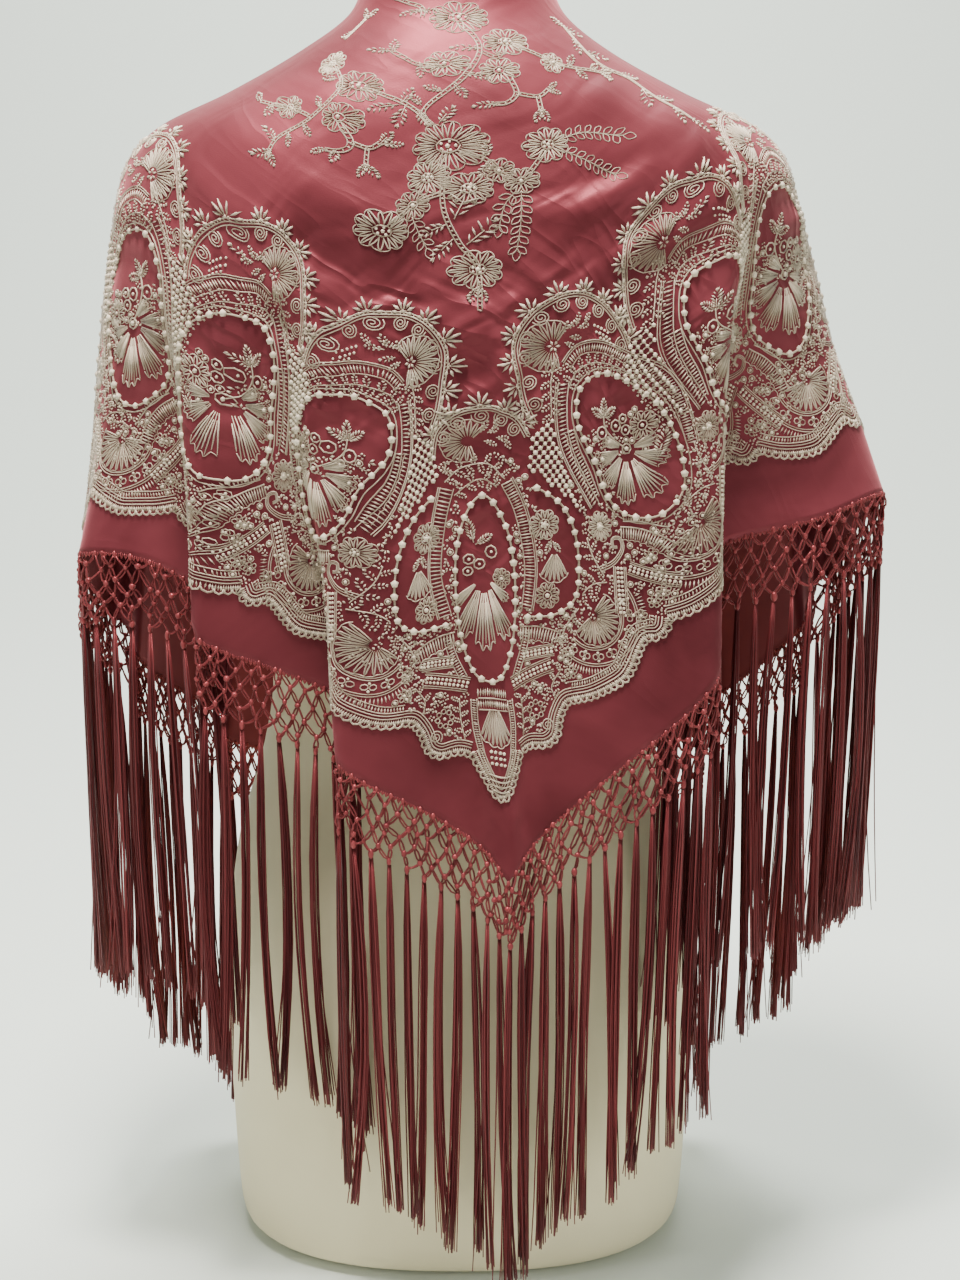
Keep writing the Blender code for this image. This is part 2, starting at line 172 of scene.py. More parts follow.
def ringPoints(angle, ring, height):
    # radius = ((|sin|/side)^p + (|cos|/depth)^p)^(-1/p)
    side = np.where(np.sin(angle) < 0, ring.left, ring.right)
    depth = np.where(np.cos(angle) > 0, ring.back, ring.front)
    across = (np.abs(np.sin(angle)) / side) ** ovalPower
    along = (np.abs(np.cos(angle)) / depth) ** ovalPower
    radius = (across + along) ** (-1 / ovalPower)
    return np.stack([radius * np.sin(angle), -radius * np.cos(angle), height], axis=-1)


def ringHeight(angle, ring):
    # height = zSide * sin^2 + middle * cos^2, where middle is zBack behind and zFront in front
    middle = np.where(np.cos(angle) > 0, ring.zBack, ring.zFront)
    return ring.zSide * np.sin(angle) ** 2 + middle * np.cos(angle) ** 2


# A place round the cloth is its girth: metres along the first hanging oval, 0 above the point
girthAngles = np.radians(np.linspace(-frontAngle, frontAngle, 1089))
girths = distances(ringPoints(girthAngles, hanging[0], np.zeros(len(girthAngles))))
girths = girths - np.interp(math.radians(tipAngle), girthAngles, girths)


def growth(at, start):
    # how far a fold has opened at row at: twice the eased half of its share of the rows below start
    return eased((at - start) / (lastRow - start) * 0.5) * 2


def foldOffsets(girth, at):
    # out = -depth * growth * sunk + wave bumps; along = -overlap * growth * share * exp((1 - share^2) / 2)
    out = np.zeros((len(at), len(girth)))
    along = np.zeros_like(out)
    aboveHem = (lastRow - np.asarray(at, float))[:, None]
    for fold in folds:
        way = math.copysign(1, fold.girth)
        distance = girth[None] * way - abs(fold.girth) - fold.lean * aboveHem
        share = distance / fold.width
        sunk = eased((share + 1) / 2) * (1 - eased(distance / fold.recover - 0.2))
        openBy = growth(at, fold.start)[:, None]
        out -= fold.depth * openBy * sunk
        along -= fold.overlap * way * openBy * share * np.exp(0.5 * (1 - share**2))
    for wave in waves:
        bump = np.exp(-(((girth - wave.girth) / wave.width) ** 2))
        out += wave.height * growth(at, wave.start)[:, None] * bump
    return out, along


def hemRuns():
    # metres along the hem in plan, folds included, at each girth
    plan = ringPoints(girthAngles, hanging[-1], np.zeros(len(girths)))[:, :2]
    along = unit(np.gradient(plan, axis=0))
    out, sideways = foldOffsets(girths, np.array([float(lastRow)]))
    run = distances(plan + out[0][:, None] * quarterTurn(along) + sideways[0][:, None] * along)
    return run - np.interp(0.0, girths, run)


hemRun = hemRuns()


def hemHeight(girth):
    # the hem's height above the floor, from the left or the right table
    run = np.interp(girth, girths, hemRun)
    return np.where(girth < 0, smoothTable(-run, leftHem), smoothTable(run, rightHem))


def clothBase(girth, at):
    # rings over the shoulders, then ovals that hang from the last ring down to the hem's height
    angle = np.interp(girth, girths, girthAngles)
    rows = [ringPoints(angle, ring, ringHeight(angle, ring)) for ring in shoulderRings]
    last = ringHeight(angle, shoulderRings[-1])
    for hang in hanging:
        rows.append(ringPoints(angle, hang, last + hang.drop * (hemHeight(girth) - last)))
    return smoothRows(np.array(rows), at)


def clothSurface(girth, at):
    # base(girth, at) + out * outward + sideways * along, in plan
    points = clothBase(girth, at)
    ahead = clothBase(np.minimum(girth + 0.0005, girths[-1]), at)
    behind = clothBase(np.maximum(girth - 0.0005, girths[0]), at)
    along = unit((ahead - behind)[..., :2])
    out, sideways = foldOffsets(girth, at)
    points[..., :2] += out[..., None] * quarterTurn(along) + sideways[..., None] * along
    return points


def gridNormals(points):
    # cross product of the steps down and across the grid
    return unit(np.cross(np.gradient(points, axis=0), np.gradient(points, axis=1)))


# The flat cut: a triangle whose long side is 1.40 m and whose point lies 0.63 m below it. A place
# on the cloth is x from the middle and y up from the point, and legX, legY point up a short side.
cut = {"width": 1.40, "length": 0.63, "leg": 0.942, "neck": 0.14}
legX, legY = cut["width"] / 2 / cut["leg"], cut["length"] / cut["leg"]
neckShare = cut["neck"] / cut["leg"]
gridColumns, gridRows = 321, 97


def clothGrid():
    # columns evenly spaced along the hem, rows evenly spaced down each column
    fine = np.linspace(girths[0], girths[-1], 3601)
    run = distances(clothSurface(fine, np.array([float(lastRow)]))[0])
    tip = np.interp(0.0, fine, run)
    share = np.linspace(-1, 1, gridColumns)
    girth = np.interp(np.where(share < 0, tip * (1 + share), tip + (run[-1] - tip) * share), run, fine)
    raw = clothSurface(girth, np.linspace(0, lastRow, 281))
    columns = []
    for j in range(gridColumns):
        down = distances(raw[:, j])
        columns.append(readAt(np.linspace(0, down[-1], gridRows), down, raw[:, j]))
    return np.stack(columns, axis=1)


def flatPlaces():
    # x = ((1 - t) * neckShare + t * legX) * a and y = 0.63 - t * (0.63 - |a| * legY)
    a = np.linspace(-cut["leg"], cut["leg"], gridColumns)[None]
    t = np.linspace(0, 1, gridRows)[:, None]
    x = ((1 - t) * neckShare + t * legX) * a
    return x, cut["length"] - t * (cut["length"] - np.abs(a) * legY)


smoothCloth = clothGrid()
placeX, placeY = flatPlaces()


# Mesh helpers

def makeMesh(name, points, faces, material):
    # faces is a list of index arrays, each (count, corners)
    mesh = bpy.data.meshes.new(name)
    mesh.vertices.add(len(points))
    mesh.vertices.foreach_set("co", np.asarray(points, np.float32).ravel())
    corners = np.concatenate([f.ravel() for f in faces]).astype(np.int32)
    sizes = np.concatenate([np.full(len(f), f.shape[1]) for f in faces])
    mesh.loops.add(len(corners))
    mesh.loops.foreach_set("vertex_index", corners)
    mesh.polygons.add(len(sizes))
    mesh.polygons.foreach_set("loop_start", np.concatenate([[0], np.cumsum(sizes)[:-1]]).astype(np.int32))
    mesh.update(calc_edges=True)
    mesh.polygons.foreach_set("use_smooth", np.full(len(sizes), True))
    mesh.materials.append(material)
    piece = bpy.data.objects.new(name, mesh)
    scene.collection.objects.link(piece)
    return piece


def setTone(piece, tone):
    # one number for each point, read by the materials
    layer = piece.data.attributes.new("tone", "FLOAT", "POINT")
    layer.data.foreach_set("value", np.asarray(tone, np.float32))


def setUv(piece, places):
    # places holds u and v of each point
    index = np.empty(len(piece.data.loops), np.int32)
    piece.data.loops.foreach_get("vertex_index", index)
    layer = piece.data.uv_layers.new(name="UVMap")
    layer.data.foreach_set("uv", np.asarray(places, np.float32)[index].ravel())


def joinRings(starts, count):
    # quads between the ring of count points at each start and the ring after it
    j = np.arange(count)[None]
    k = (j + 1) % count
    return np.stack([starts + j, starts + k, starts + count + k, starts + count + j], axis=-1).reshape(-1, 4)


def tubeParts(points, path, side, out, radius, profile):
    # each point becomes a ring of profile corners; rings of one path are joined and its ends closed
    count = len(profile)
    ring = profile[None, :, :1] * side[:, None] + profile[None, :, 1:] * out[:, None]
    verts = (points[:, None] + ring * radius[:, None, None]).reshape(-1, 3)
    change = path[1:] != path[:-1]
    quads = joinRings(np.nonzero(~change)[0][:, None] * count, count)
    j = np.arange(count)[None]
    first = np.nonzero(np.concatenate([[True], change]))[0][:, None] * count + j[:, ::-1]
    last = np.nonzero(np.concatenate([change, [True]]))[0][:, None] * count + j
    return verts, [quads, first, last]


def pathTangents(points, path):
    # from the point before to the point after, where these belong to the same path
    same = path[1:] == path[:-1]
    hasNext = np.concatenate([same, [False]])[:, None]
    hasLast = np.concatenate([[False], same])[:, None]
    ahead = np.where(hasNext, np.concatenate([points[1:], points[-1:]]), points)
    behind = np.where(hasLast, np.concatenate([points[:1], points[:-1]]), points)
    return unit(ahead - behind)


def roundProfile(count, turn=0.0):
    # corners evenly round a circle of radius 1
    angle = np.arange(count) * 2 * math.pi / count + turn
    return np.stack([np.cos(angle), np.sin(angle)], axis=1)


def hangingTubes(name, middle, outward, radius, tone, count, material):
    # a round profile of count corners along each path: middle is (paths, points, 3), and radius and
    # tone broadcast to (paths, points)
    paths, steps = middle.shape[:2]
    points = middle.reshape(-1, 3)
    path = np.repeat(np.arange(paths), steps)
    tangent = pathTangents(points, path)
    out = np.broadcast_to(outward, middle.shape).reshape(-1, 3)
    out = unit(out - (out * tangent).sum(1, keepdims=True) * tangent)
    radius = np.broadcast_to(radius, (paths, steps)).ravel()
    verts, faces = tubeParts(points, path, np.cross(out, tangent), out, radius, roundProfile(count, 0.5))
    piece = makeMesh(name, verts, faces, material)
    setTone(piece, np.repeat(np.broadcast_to(tone, (paths, steps)).ravel(), count))
    return piece


# Materials

def newMaterial(name, values):
    # values are set on the shader's own sockets
    material = bpy.data.materials.new(name)
    material.use_nodes = True
    tree = material.node_tree
    shader = tree.nodes["Principled BSDF"]
    for key, value in values.items():
        shader.inputs[key].default_value = value
    return material, tree, shader


def addNode(tree, kind, inputs, **settings):
    # an input is a constant, or a socket to link from
    node = tree.nodes.new("ShaderNode" + kind)
    for key, value in settings.items():
        setattr(node, key, value)
    for key, value in inputs.items():
        if isinstance(value, bpy.types.NodeSocket):
            tree.links.new(value, node.inputs[key])
        else:
            node.inputs[key].default_value = value
    return node


def addNoise(tree, vector, scale, detail, distortion=0.0):
    inputs = {"Vector": vector, "Scale": scale, "Detail": detail, "Distortion": distortion}
    return addNode(tree, "TexNoise", inputs).outputs[0]


def addTint(tree, share, dark, light):
    return addNode(tree, "Mix", {0: share, 6: (*dark, 1), 7: (*light, 1)}, data_type="RGBA").outputs[2]


def joinShader(tree, shader, colour, normal):
    tree.links.new(colour, shader.inputs["Base Color"])
    tree.links.new(normal.outputs[0], shader.inputs["Normal"])


# dark and light bound the satin's colour; cloud sets the size of the noise that mixes between them, and its lighter
# patches are painted sheen
satinLook = {
    "dark": (0.074, 0.0125, 0.0165), "light": (0.178, 0.0340, 0.0440), "gleam": (1.0, 0.30, 0.34, 1),
    "cloud": 8.0, "weave": (900.0, 2600.0, 1.0), "ridges": -0.42, "crush": 0.016,
    "shader": {"Roughness": 0.43, "Metallic": 0.28, "Specular IOR Level": 0.2,
               "Sheen Weight": 0.34, "Sheen Roughness": 0.5},
    # turn, size, detail and distortion of the soft and the ridged crushing
    "crushes": ((0.55, (0.074, 0.033, 1.0), 2.0, 0.3), (-0.75, (0.060, 0.017, 1.0), 1.0, 0.5)),
}


def satinMaterial():
    # height of the crushed bump = tone * (soft noise - 0.42 * |ridge noise - 0.5|)
    material, tree, shader = newMaterial("roseSatin", {
        **satinLook["shader"], "Specular Tint": satinLook["gleam"], "Sheen Tint": satinLook["gleam"]})
    place = addNode(tree, "TexCoord", {}).outputs["UV"]
    # painted sheen: soft noise lifts the colour from dark towards light in patches, standing in for uneven sheen on the
    # satin
    cloud = addNoise(tree, place, satinLook["cloud"], 4.0, 0.5)
    spread = addNode(tree, "MapRange", {0: cloud, 1: 0.34, 2: 0.68})
    tint = addTint(tree, spread.outputs[0], satinLook["dark"], satinLook["light"])
    stretch = addNode(tree, "Mapping", {"Vector": place, "Scale": satinLook["weave"]})
    weave = addNoise(tree, stretch.outputs[0], 1.0, 1.0)
    fine = addNode(tree, "Bump", {"Height": weave, "Strength": 0.3, "Distance": 0.0002})
    heights = []
    for turn, size, detail, distortion in satinLook["crushes"]:
        inputs = {"Vector": place, "Rotation": (0, 0, turn), "Scale": size}
        turned = addNode(tree, "Mapping", inputs, vector_type="TEXTURE")
        heights.append(addNoise(tree, turned.outputs[0], 1.0, detail, distortion))
    folded = addNode(tree, "Math", {0: heights[1], 1: 0.5}, operation="SUBTRACT")
    ridge = addNode(tree, "Math", {0: folded.outputs[0]}, operation="ABSOLUTE")
    inputs = {0: ridge.outputs[0], 1: satinLook["ridges"], 2: heights[0]}
    summed = addNode(tree, "Math", inputs, operation="MULTIPLY_ADD")
    tone = addNode(tree, "Attribute", {}, attribute_name="tone")  # how crushed the cloth is
    uneven = addNode(tree, "Math", {0: summed.outputs[0], 1: tone.outputs["Fac"]}, operation="MULTIPLY")
    crush = addNode(tree, "Bump", {"Height": uneven.outputs[0], "Strength": 0.9, "Distance": satinLook["crush"],
                                   "Normal": fine.outputs[0]})
    joinShader(tree, shader, tint, crush)
    return material


def threadMaterial(name, dark, light, values):
    # colour follows the tone of each thread, and the shine has the colour of the light thread
    gleam = [(value / max(light)) ** 0.5 for value in light]
    material, tree, shader = newMaterial(name, {**values, "Specular Tint": (*gleam, 1)})
    tone = addNode(tree, "Attribute", {}, attribute_name="tone")
    fibre = addNoise(tree, addNode(tree, "TexCoord", {}).outputs["Object"], 1400.0, 1.0)
    bump = addNode(tree, "Bump", {"Height": fibre, "Strength": 0.4, "Distance": 0.0003})
    joinShader(tree, shader, addTint(tree, tone.outputs["Fac"], dark, light), bump)
    return material


satin = satinMaterial()
cream = threadMaterial("creamThread", (0.24, 0.168, 0.110), (0.70, 0.59, 0.44),
                       {"Roughness": 0.5, "Sheen Weight": 0.2, "Specular IOR Level": 0.5, "Metallic": 0.0})
cord = threadMaterial("roseCord", (0.062, 0.0080, 0.0095), (0.275, 0.052, 0.056),
                      {"Roughness": 0.34, "Sheen Weight": 0.06, "Specular IOR Level": 0.2, "Metallic": 0.35})


# Cloth: creases are soft troughs and ridges on the flat cut, each with its own bend and length
clothLook = {"hemRoll": 0.0009, "hemTone": 0.12, "offSolid": 0.0002, "deepest": (0.0012, 0.0020)}
Crease = namedtuple("Crease", "x y angle length width height bend")  # cm, degrees, cm, cm, mm, cm
creases = [Crease(*row) for row in (
    (0.35, 3.4, 90, 8.0, 0.55, 2.8, 0.15), (1.5, 4.6, 84, 6.0, 0.70, -1.8, 0.2),
    (4.6, 46.4, 18, 10.0, 0.65, -2.6, 0.5), (5.2, 45.2, 22, 9.0, 0.55, 2.6, 0.4),
    (9.0, 45.2, 38, 8.0, 0.55, -2.2, 0.3), (10.5, 46.5, 42, 9.0, 0.60, 2.4, 0.3),
    (7.8, 41.8, 30, 9.0, 0.80, 3.2, -0.5), (6.6, 40.4, 32, 7.0, 0.70, -2.8, -0.4),
    (3.0, 38.4, -42, 9.0, 0.80, 3.2, 0.6), (1.2, 39.4, -50, 8.0, 0.70, -2.8, 0.5),
    (-0.6, 36.0, -60, 7.0, 0.70, 2.8, 0.3), (-1.4, 34.6, 40, 6.0, 0.60, -2.2, 0.2),
    (-6.4, 45.8, -24, 10.0, 0.80, 2.4, 0.6), (-8.6, 43.0, -36, 9.0, 0.75, -2.6, 0.5),
    (-11.5, 41.0, -48, 7.0, 0.60, 2.6, 0.3), (-12.6, 39.4, -50, 7.0, 0.55, -2.4, 0.3),
    (-14.2, 46.8, -40, 10.0, 0.70, 2.2, 0.4), (-3.0, 39.6, 70, 8.0, 0.80, 2.6, 0.4),
    (14.0, 45.0, 60, 9.0, 0.65, 2.5, 0.4), (12.4, 42.0, 52, 8.0, 0.60, -2.2, 0.3),
    (11.6, 43.6, 48, 6.0, 0.50, 2.0, 0.2), (8.4, 43.6, 34, 7.0, 0.60, -2.2, 0.4),
    (0.6, 42.6, 8, 16.0, 1.60, -3.0, -1.2), (-6.0, 41.0, -18, 12.0, 1.50, -2.8, -0.8),
    (9.6, 40.6, 16, 9.0, 1.30, -2.8, 0.4), (1.8, 35.0, 84, 6.0, 0.70, -2.2, 0.3),
    (0.4, 34.0, 62, 6.0, 0.60, 2.4, 0.2), (5.0, 52.0, 12, 11.0, 1.20, 1.2, 0.5),
    (-6.0, 52.4, -10, 10.0, 1.10, 1.1, 0.5), (11.0, 50.0, 26, 12.0, 1.20, 1.5, 0.6),
    (-12.0, 50.6, -30, 11.0, 1.20, 1.4, 0.6), (-1.0, 7.6, 88, 9.0, 0.65, 1.4, 0.2),
    (1.8, 8.2, 80, 8.0, 0.80, -1.4, 0.3), (9.5, 12.5, 74, 10.0, 0.90, 1.5, 0.4),
    (-8.0, 11.5, -74, 9.0, 0.90, 1.5, 0.4), (20.0, 30.0, 76, 15.0, 0.90, 2.2, 0.4),
    (-20.5, 29.0, -72, 16.0, 0.90, 2.2, 0.5), (17.6, 36.0, 84, 12.0, 0.80, -2.0, 0.4),
    (-17.8, 37.0, -80, 11.0, 0.80, -2.0, 0.4), (23.0, 46.0, 40, 10.0, 0.70, 2.6, 0.4),
    (25.0, 43.6, 46, 9.0, 0.70, -2.2, 0.4), (-23.5, 45.0, -44, 9.0, 0.70, -2.2, 0.4),
    (-21.4, 47.6, -38, 10.0, 0.70, 2.4, 0.5), (31.0, 50.0, 34, 9.0, 0.70, 2.6, 0.5),
    (-32.0, 49.0, -38, 10.0, 0.70, 2.4, 0.4), (35.0, 44.0, 62, 11.0, 0.75, -2.2, 0.4),
    (-36.0, 46.0, -58, 10.0, 0.75, -2.2, 0.4), (33.0, 46.8, 56, 9.0, 0.70, 2.2, 0.4),
    (44.0, 52.0, 50, 9.0, 0.70, 2.2, 0.4), (-45.0, 53.0, -52, 10.0, 0.70, 2.2, 0.4),
    (52.0, 57.0, 46, 8.0, 0.65, -1.8, 0.3), (-53.0, 58.0, -46, 8.0, 0.65, 1.8, 0.3),
)]


def creaseHeights(x, y):
    # height * exp(-(across / width)^2) * (1 - (along / half)^2)^2, where across follows a bent line
    total = np.zeros_like(x)
    for crease in creases:
        angle = math.radians(crease.angle)
        along = (x - crease.x) * math.cos(angle) + (y - crease.y) * math.sin(angle)
        across = (y - crease.y) * math.cos(angle) - (x - crease.x) * math.sin(angle)
        share = along / (crease.length / 2)
        across = across - crease.bend * share**2
        fade = np.clip(1 - share**2, 0, None) ** 2
        total += crease.height * fade * np.exp(-((across / (crease.width * (1.2 - 0.4 * share))) ** 2))
    return total


def buildCloth():
    # the base form moved out by its creases, and a wall built outwards from it
    down = np.linspace(0, 1, gridRows)[:, None]
    heights = creaseHeights(placeX * 100, placeY * 100) / 1000
    room = eased((down - 0.02) / 0.3)  # little room over the neck
    near, far = clothLook["deepest"]
    heights = np.maximum(heights, -(near + far * eased((down - 0.22) / 0.25)) * room) * np.clip(room + 0.25, 0, 1)
    inner = smoothCloth + gridNormals(smoothCloth) * (heights + clothLook["offSolid"])[..., None]
    normal = gridNormals(inner)
    outer = inner + clothThickness * normal
    index = np.arange(gridRows * gridColumns).reshape(gridRows, gridColumns)
    low, high = index[:-1, :-1].ravel(), index[1:, 1:].ravel()
    right, below = index[:-1, 1:].ravel(), index[1:, :-1].ravel()
    outside = np.stack([low, below, high, right], axis=1) + index.size
    inside = np.stack([low, right, high, below], axis=1)
    rim = np.concatenate([index[:, 0], index[-1, 1:], index[-2::-1, -1], index[0, -2:0:-1]])
    ahead = np.roll(rim, -1)
    edge = np.stack([rim, ahead, ahead + index.size, rim + index.size], axis=1)
    points = np.concatenate([inner.reshape(-1, 3), outer.reshape(-1, 3)])
    piece = makeMesh("shawl", points, [outside, inside, edge], satin)
    place = np.stack([placeX, placeY], axis=-1).reshape(-1, 2)
    setUv(piece, np.concatenate([place, place]))
    # crushed between the shoulder blades, smooth near the neck and within the border
    inward = placeY * legX - np.abs(placeX) * legY  # metres from the nearest short side
    crushed = (0.10 + 0.90 * eased((inward - 0.08) / 0.09)) * (1 - 0.86 * eased((placeY - 0.39) / 0.10))
    setTone(piece, np.tile(crushed.ravel(), 2))
    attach(piece, "root")
    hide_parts("shawl_cloth")
    return piece, inner, outer, normal


shawl, clothInner, clothOuter, clothNormal = buildCloth()
print("cloth", len(shawl.data.polygons))


def onCloth(flat):
    # flat places in cm to points and normals of the cloth's outer side. With u = |x|, v = depth below
    # the long side and n = neckShare: legY * n * a^2 - (u * legY + 0.63 * n + v * (legX - n)) * a + 0.63 * u = 0
    x, y = flat[:, 0] / 100, flat[:, 1] / 100
    u, v = np.abs(x), np.clip(cut["length"] - y, 0, None)
    b = u * legY + cut["length"] * neckShare + v * (legX - neckShare)
    root = np.sqrt(np.maximum(b**2 - 4 * legY * neckShare * cut["length"] * u, 0))
    a = np.clip((b - root) / (2 * legY * neckShare), 0, cut["leg"] - 1e-6)
    t = np.clip(v / np.maximum(cut["length"] - a * legY, 1e-6), 0, 1)
    column = (np.sign(x) * a / cut["leg"] + 1) / 2 * (gridColumns - 1)
    row = t * (gridRows - 1)
    i = np.clip(row.astype(int), 0, gridRows - 2)
    j = np.clip(column.astype(int), 0, gridColumns - 2)
    di, dj = (row - i)[:, None], (column - j)[:, None]

    def read(grid):
        top = grid[i, j] * (1 - dj) + grid[i, j + 1] * dj
        low = grid[i + 1, j] * (1 - dj) + grid[i + 1, j + 1] * dj
        return top * (1 - di) + low * di

    return read(clothOuter), unit(read(clothNormal))


# Embroidery. Motifs are drawn on the flat cut in centimetres, thread radii are in millimetres. A work
# collects stitches, lines and beads.
threadLook = {"step": 0.165, "stitch": 0.62, "line": 0.46, "petal": 1.0, "bead": 2.45, "knot": 1.6, "arch": 0.35,
              "grain": 0.7, "uneven": 0.12, "shift": 0.012, "profile": ((-1.0, -0.5), (1.0, -0.5), (0.0, 1.3)),
              "stitchShape": (0.55, 1.0, 0.5), "dome": 5, "domeRings": ((1.0, 0.0), (0.84, 0.62)), "domeTop": 0.98}


def newWork():
    # stitches are x0, y0, x1, y1, radius; beads are x, y, radius; a line is its path and radius
    return {"stitches": [], "lines": [], "beads": []}


def toward(degrees):
    # unit vectors at these angles
    angle = np.radians(degrees)
    return np.stack([np.cos(angle), np.sin(angle)], axis=-1)


def heading(vector):
    # the angle of a vector in degrees
    return math.degrees(math.atan2(vector[1], vector[0]))


def mirrored(way, *corners):
    # the corners as they are, or turned over the middle where way is -1
    return [(x * way, y) for x, y in corners]


def smoothPath(corners, closed=False, step=None):
    # Catmull-Rom through the corners, resampled evenly
    corners = np.asarray(corners, float)
    count = len(corners)
    if closed:
        rows = np.concatenate([corners[-2:], corners, corners[:2]])
        fine = smoothRows(rows, np.linspace(2, count + 2, 14 * count + 1))
    else:
        fine = smoothRows(corners, np.linspace(0, count - 1, 14 * count + 1))
    run = distances(fine)
    points = max(3, int(run[-1] / (step or threadLook["step"])) + 1)
    return readAt(np.linspace(0, run[-1], points), run, fine)


def pathSides(path):
    # unit vectors to the left of the path's way
    return -quarterTurn(unit(np.gradient(path, axis=0)))


def shifted(path, distance):
    # the path moved to its left
    return path + pathSides(path) * np.asarray(distance).reshape(-1, 1)


def stations(path, pitch, first=0.0):
    # places at a pitch along the path, with the side vector of each
    run = distances(path)
    at = np.arange(first, run[-1] + 1e-6, pitch)
    return readAt(at, run, path), readAt(at, run, pathSides(path))


def addLine(work, path, radius=None):
    work["lines"].append((np.asarray(path, float), radius or threadLook["line"]))


def addStitches(work, starts, ends, radius=None):
    starts, ends = np.atleast_2d(starts), np.atleast_2d(ends)
    radius = np.broadcast_to(radius or threadLook["stitch"], len(starts))
    work["stitches"].append(np.concatenate([starts, ends, radius[:, None]], axis=1))


def addBeads(work, places, radius=None):
    places = np.atleast_2d(places)
    radius = np.broadcast_to(radius or threadLook["bead"], len(places))
    work["beads"].append(np.concatenate([places, radius[:, None]], axis=1))


def addDaisy(work, place, direction, size=0.92, petals=7, spread=190):
    # half a daisy: fat petals fanned about a direction
    rays = toward(direction + np.linspace(-0.5, 0.5, petals) * spread)
    reach = size * (0.82 + 0.18 * np.cos(np.linspace(-1.5, 1.5, petals)))
    addStitches(work, place + rays * 0.2, place + rays * reach[:, None], threadLook["petal"])
    addStitches(work, place - rays[1:-1:2] * 0.05, place + rays[1:-1:2] * 0.24, 0.7)


def addSpiral(work, place, radius, start, turns):
    # radius * t at the angle start - turns * 360 * t
    t = np.linspace(0.12, 1, int(11 * turns))
    addLine(work, place + radius * t[:, None] * toward(start - t * turns * 360), 0.44)


def addRing(work, place, radius, thick=None):
    # place + radius * (cos, sin) once round
    addLine(work, place + radius * toward(np.linspace(0, 360, max(8, int(radius * 22)))), thick)


def loopWave(place, turns, inner, outer, loops):
    # one thread that runs out and back in narrow loops: inner + (outer - inner) * (0.5 - 0.5 cos)^0.6
    t = np.linspace(0, 1, loops * 8 + 1)
    swing = (0.5 - 0.5 * np.cos(t * loops * 2 * math.pi)) ** 0.6
    radius = inner + (np.interp(t, np.linspace(0, 1, len(outer)), outer) - inner) * swing
    return place + radius[:, None] * toward(turns[0] + (turns[1] - turns[0]) * t)


def addWheel(work, place, radius, petals=8, inner=0.36):
    # a round flower of looped thread, each petal's edge at radius * (0.84 + 0.2 * |sin(petals * angle / 2)|)
    turn = np.linspace(0, 360, petals * 7 + 1)
    edge = radius * (0.84 + 0.2 * np.abs(np.sin(np.radians(petals * turn / 2))) ** 0.7)
    addLine(work, place + (edge + 0.05)[:, None] * toward(turn), 0.36)
    addLine(work, loopWave(place, (0, 360), radius * inner, edge, max(8, int(radius * 17))), 0.56)
    addRing(work, place, radius * inner * 0.9, 0.6)
    addBeads(work, place, 1.3 if radius < 0.8 else 1.6)
    if radius > 0.9:
        addBeads(work, place + 0.2 * radius * toward(np.arange(0, 360, 72)), 1.1)


def addFan(work, place, direction, spread, inner, outer, count, radius=0.58):
    # looped petals fanned about a direction, longest in the middle, with a thin line round them
    share = np.linspace(-1, 1, 25)
    edge = outer * (1 - 0.16 * share**2) * (1 + 0.05 * np.abs(np.sin(share * count * 0.8)))
    turns = (direction - spread / 2, direction + spread / 2)
    addLine(work, loopWave(place, turns, inner, edge, count), radius)
    addLine(work, place + (edge + 0.07)[:, None] * toward(np.linspace(*turns, 25)), 0.36)


def addLeaf(work, base, direction, length, width, pairs=5, rib=True):
    # a leaf of slanted satin stitches on both sides of its rib
    ray, side = toward(direction), toward(direction + 90)
    t = np.linspace(0.06, 0.86, pairs)[:, None]
    half = width / 2 * np.sin(np.clip(t * 1.05 + 0.08, 0, 1) * math.pi) ** 0.6
    starts = base + ray * length * t
    for way in (-1, 1):
        addStitches(work, starts + side * way * 0.03, starts + ray * length * 0.2 + side * way * half)
    addStitches(work, base + ray * length * 0.8, base + ray * length * 1.06)
    if rib:
        addLine(work, np.linspace(base - ray * 0.1, base + ray * length * 0.5, 4), 0.4)


def addLeaves(work, rows, length, width, pairs):
    for x, y, turn in rows:
        addLeaf(work, (x, y), turn, length, width, pairs)


def addLoopLeaf(work, base, direction, length):
    # an outlined leaf with nothing inside
    ray, side = toward(direction) * length, toward(direction + 90) * length * 0.27
    loop = [base, base + ray * 0.5 + side, base + ray, base + ray * 0.5 - side, base]
    addLine(work, smoothPath(loop, step=0.1), 0.3)


def addLongLeaf(work, base, direction, length, spread, count):
    # long stitches fanned from the base and ending in an uneven edge
    odd = np.arange(count) % 2
    reach = length * (0.84 + 0.16 * np.cos(np.linspace(-1.3, 1.3, count))) * (1 - 0.1 * odd)
    rays = toward(direction + np.linspace(-0.5, 0.5, count) * spread)
    addStitches(work, base + rays * length * (0.16 + 0.14 * odd)[:, None], base + rays * reach[:, None], 0.66)
    addLine(work, smoothPath(base + rays * (reach[:, None] + 0.1), step=0.14), 0.4)


def addLadder(work, corners, width, pitch=0.2, lean=0.0, edges=(1, 1)):
    # rungs across a path between edge lines
    path = smoothPath(corners)
    for way, lines in ((1, edges[0]), (-1, edges[1])):
        for i in range(lines):
            addLine(work, shifted(path, way * (width / 2 + 0.13 * i)), 0.4)
    middle, side = stations(path, pitch, 0.1)
    half = side * width * 0.46 + quarterTurn(side) * lean
    addStitches(work, middle - half, middle + half, 0.5)


def addComb(work, corners, depth, pitch=0.24, looped=True):
    # stitches that hang to the right of the path, with an outline round their ends
    path = smoothPath(corners)
    middle, side = stations(path, pitch, 0.05)
    length = depth * (0.92 + 0.08 * np.cos(np.arange(len(middle)) * 2.1))[:, None]
    addStitches(work, middle, middle - side * length, 0.54)
    addLine(work, path, 0.56)
    if looped:
        addLine(work, smoothPath(middle - side * (length + 0.1), step=0.15), 0.34)


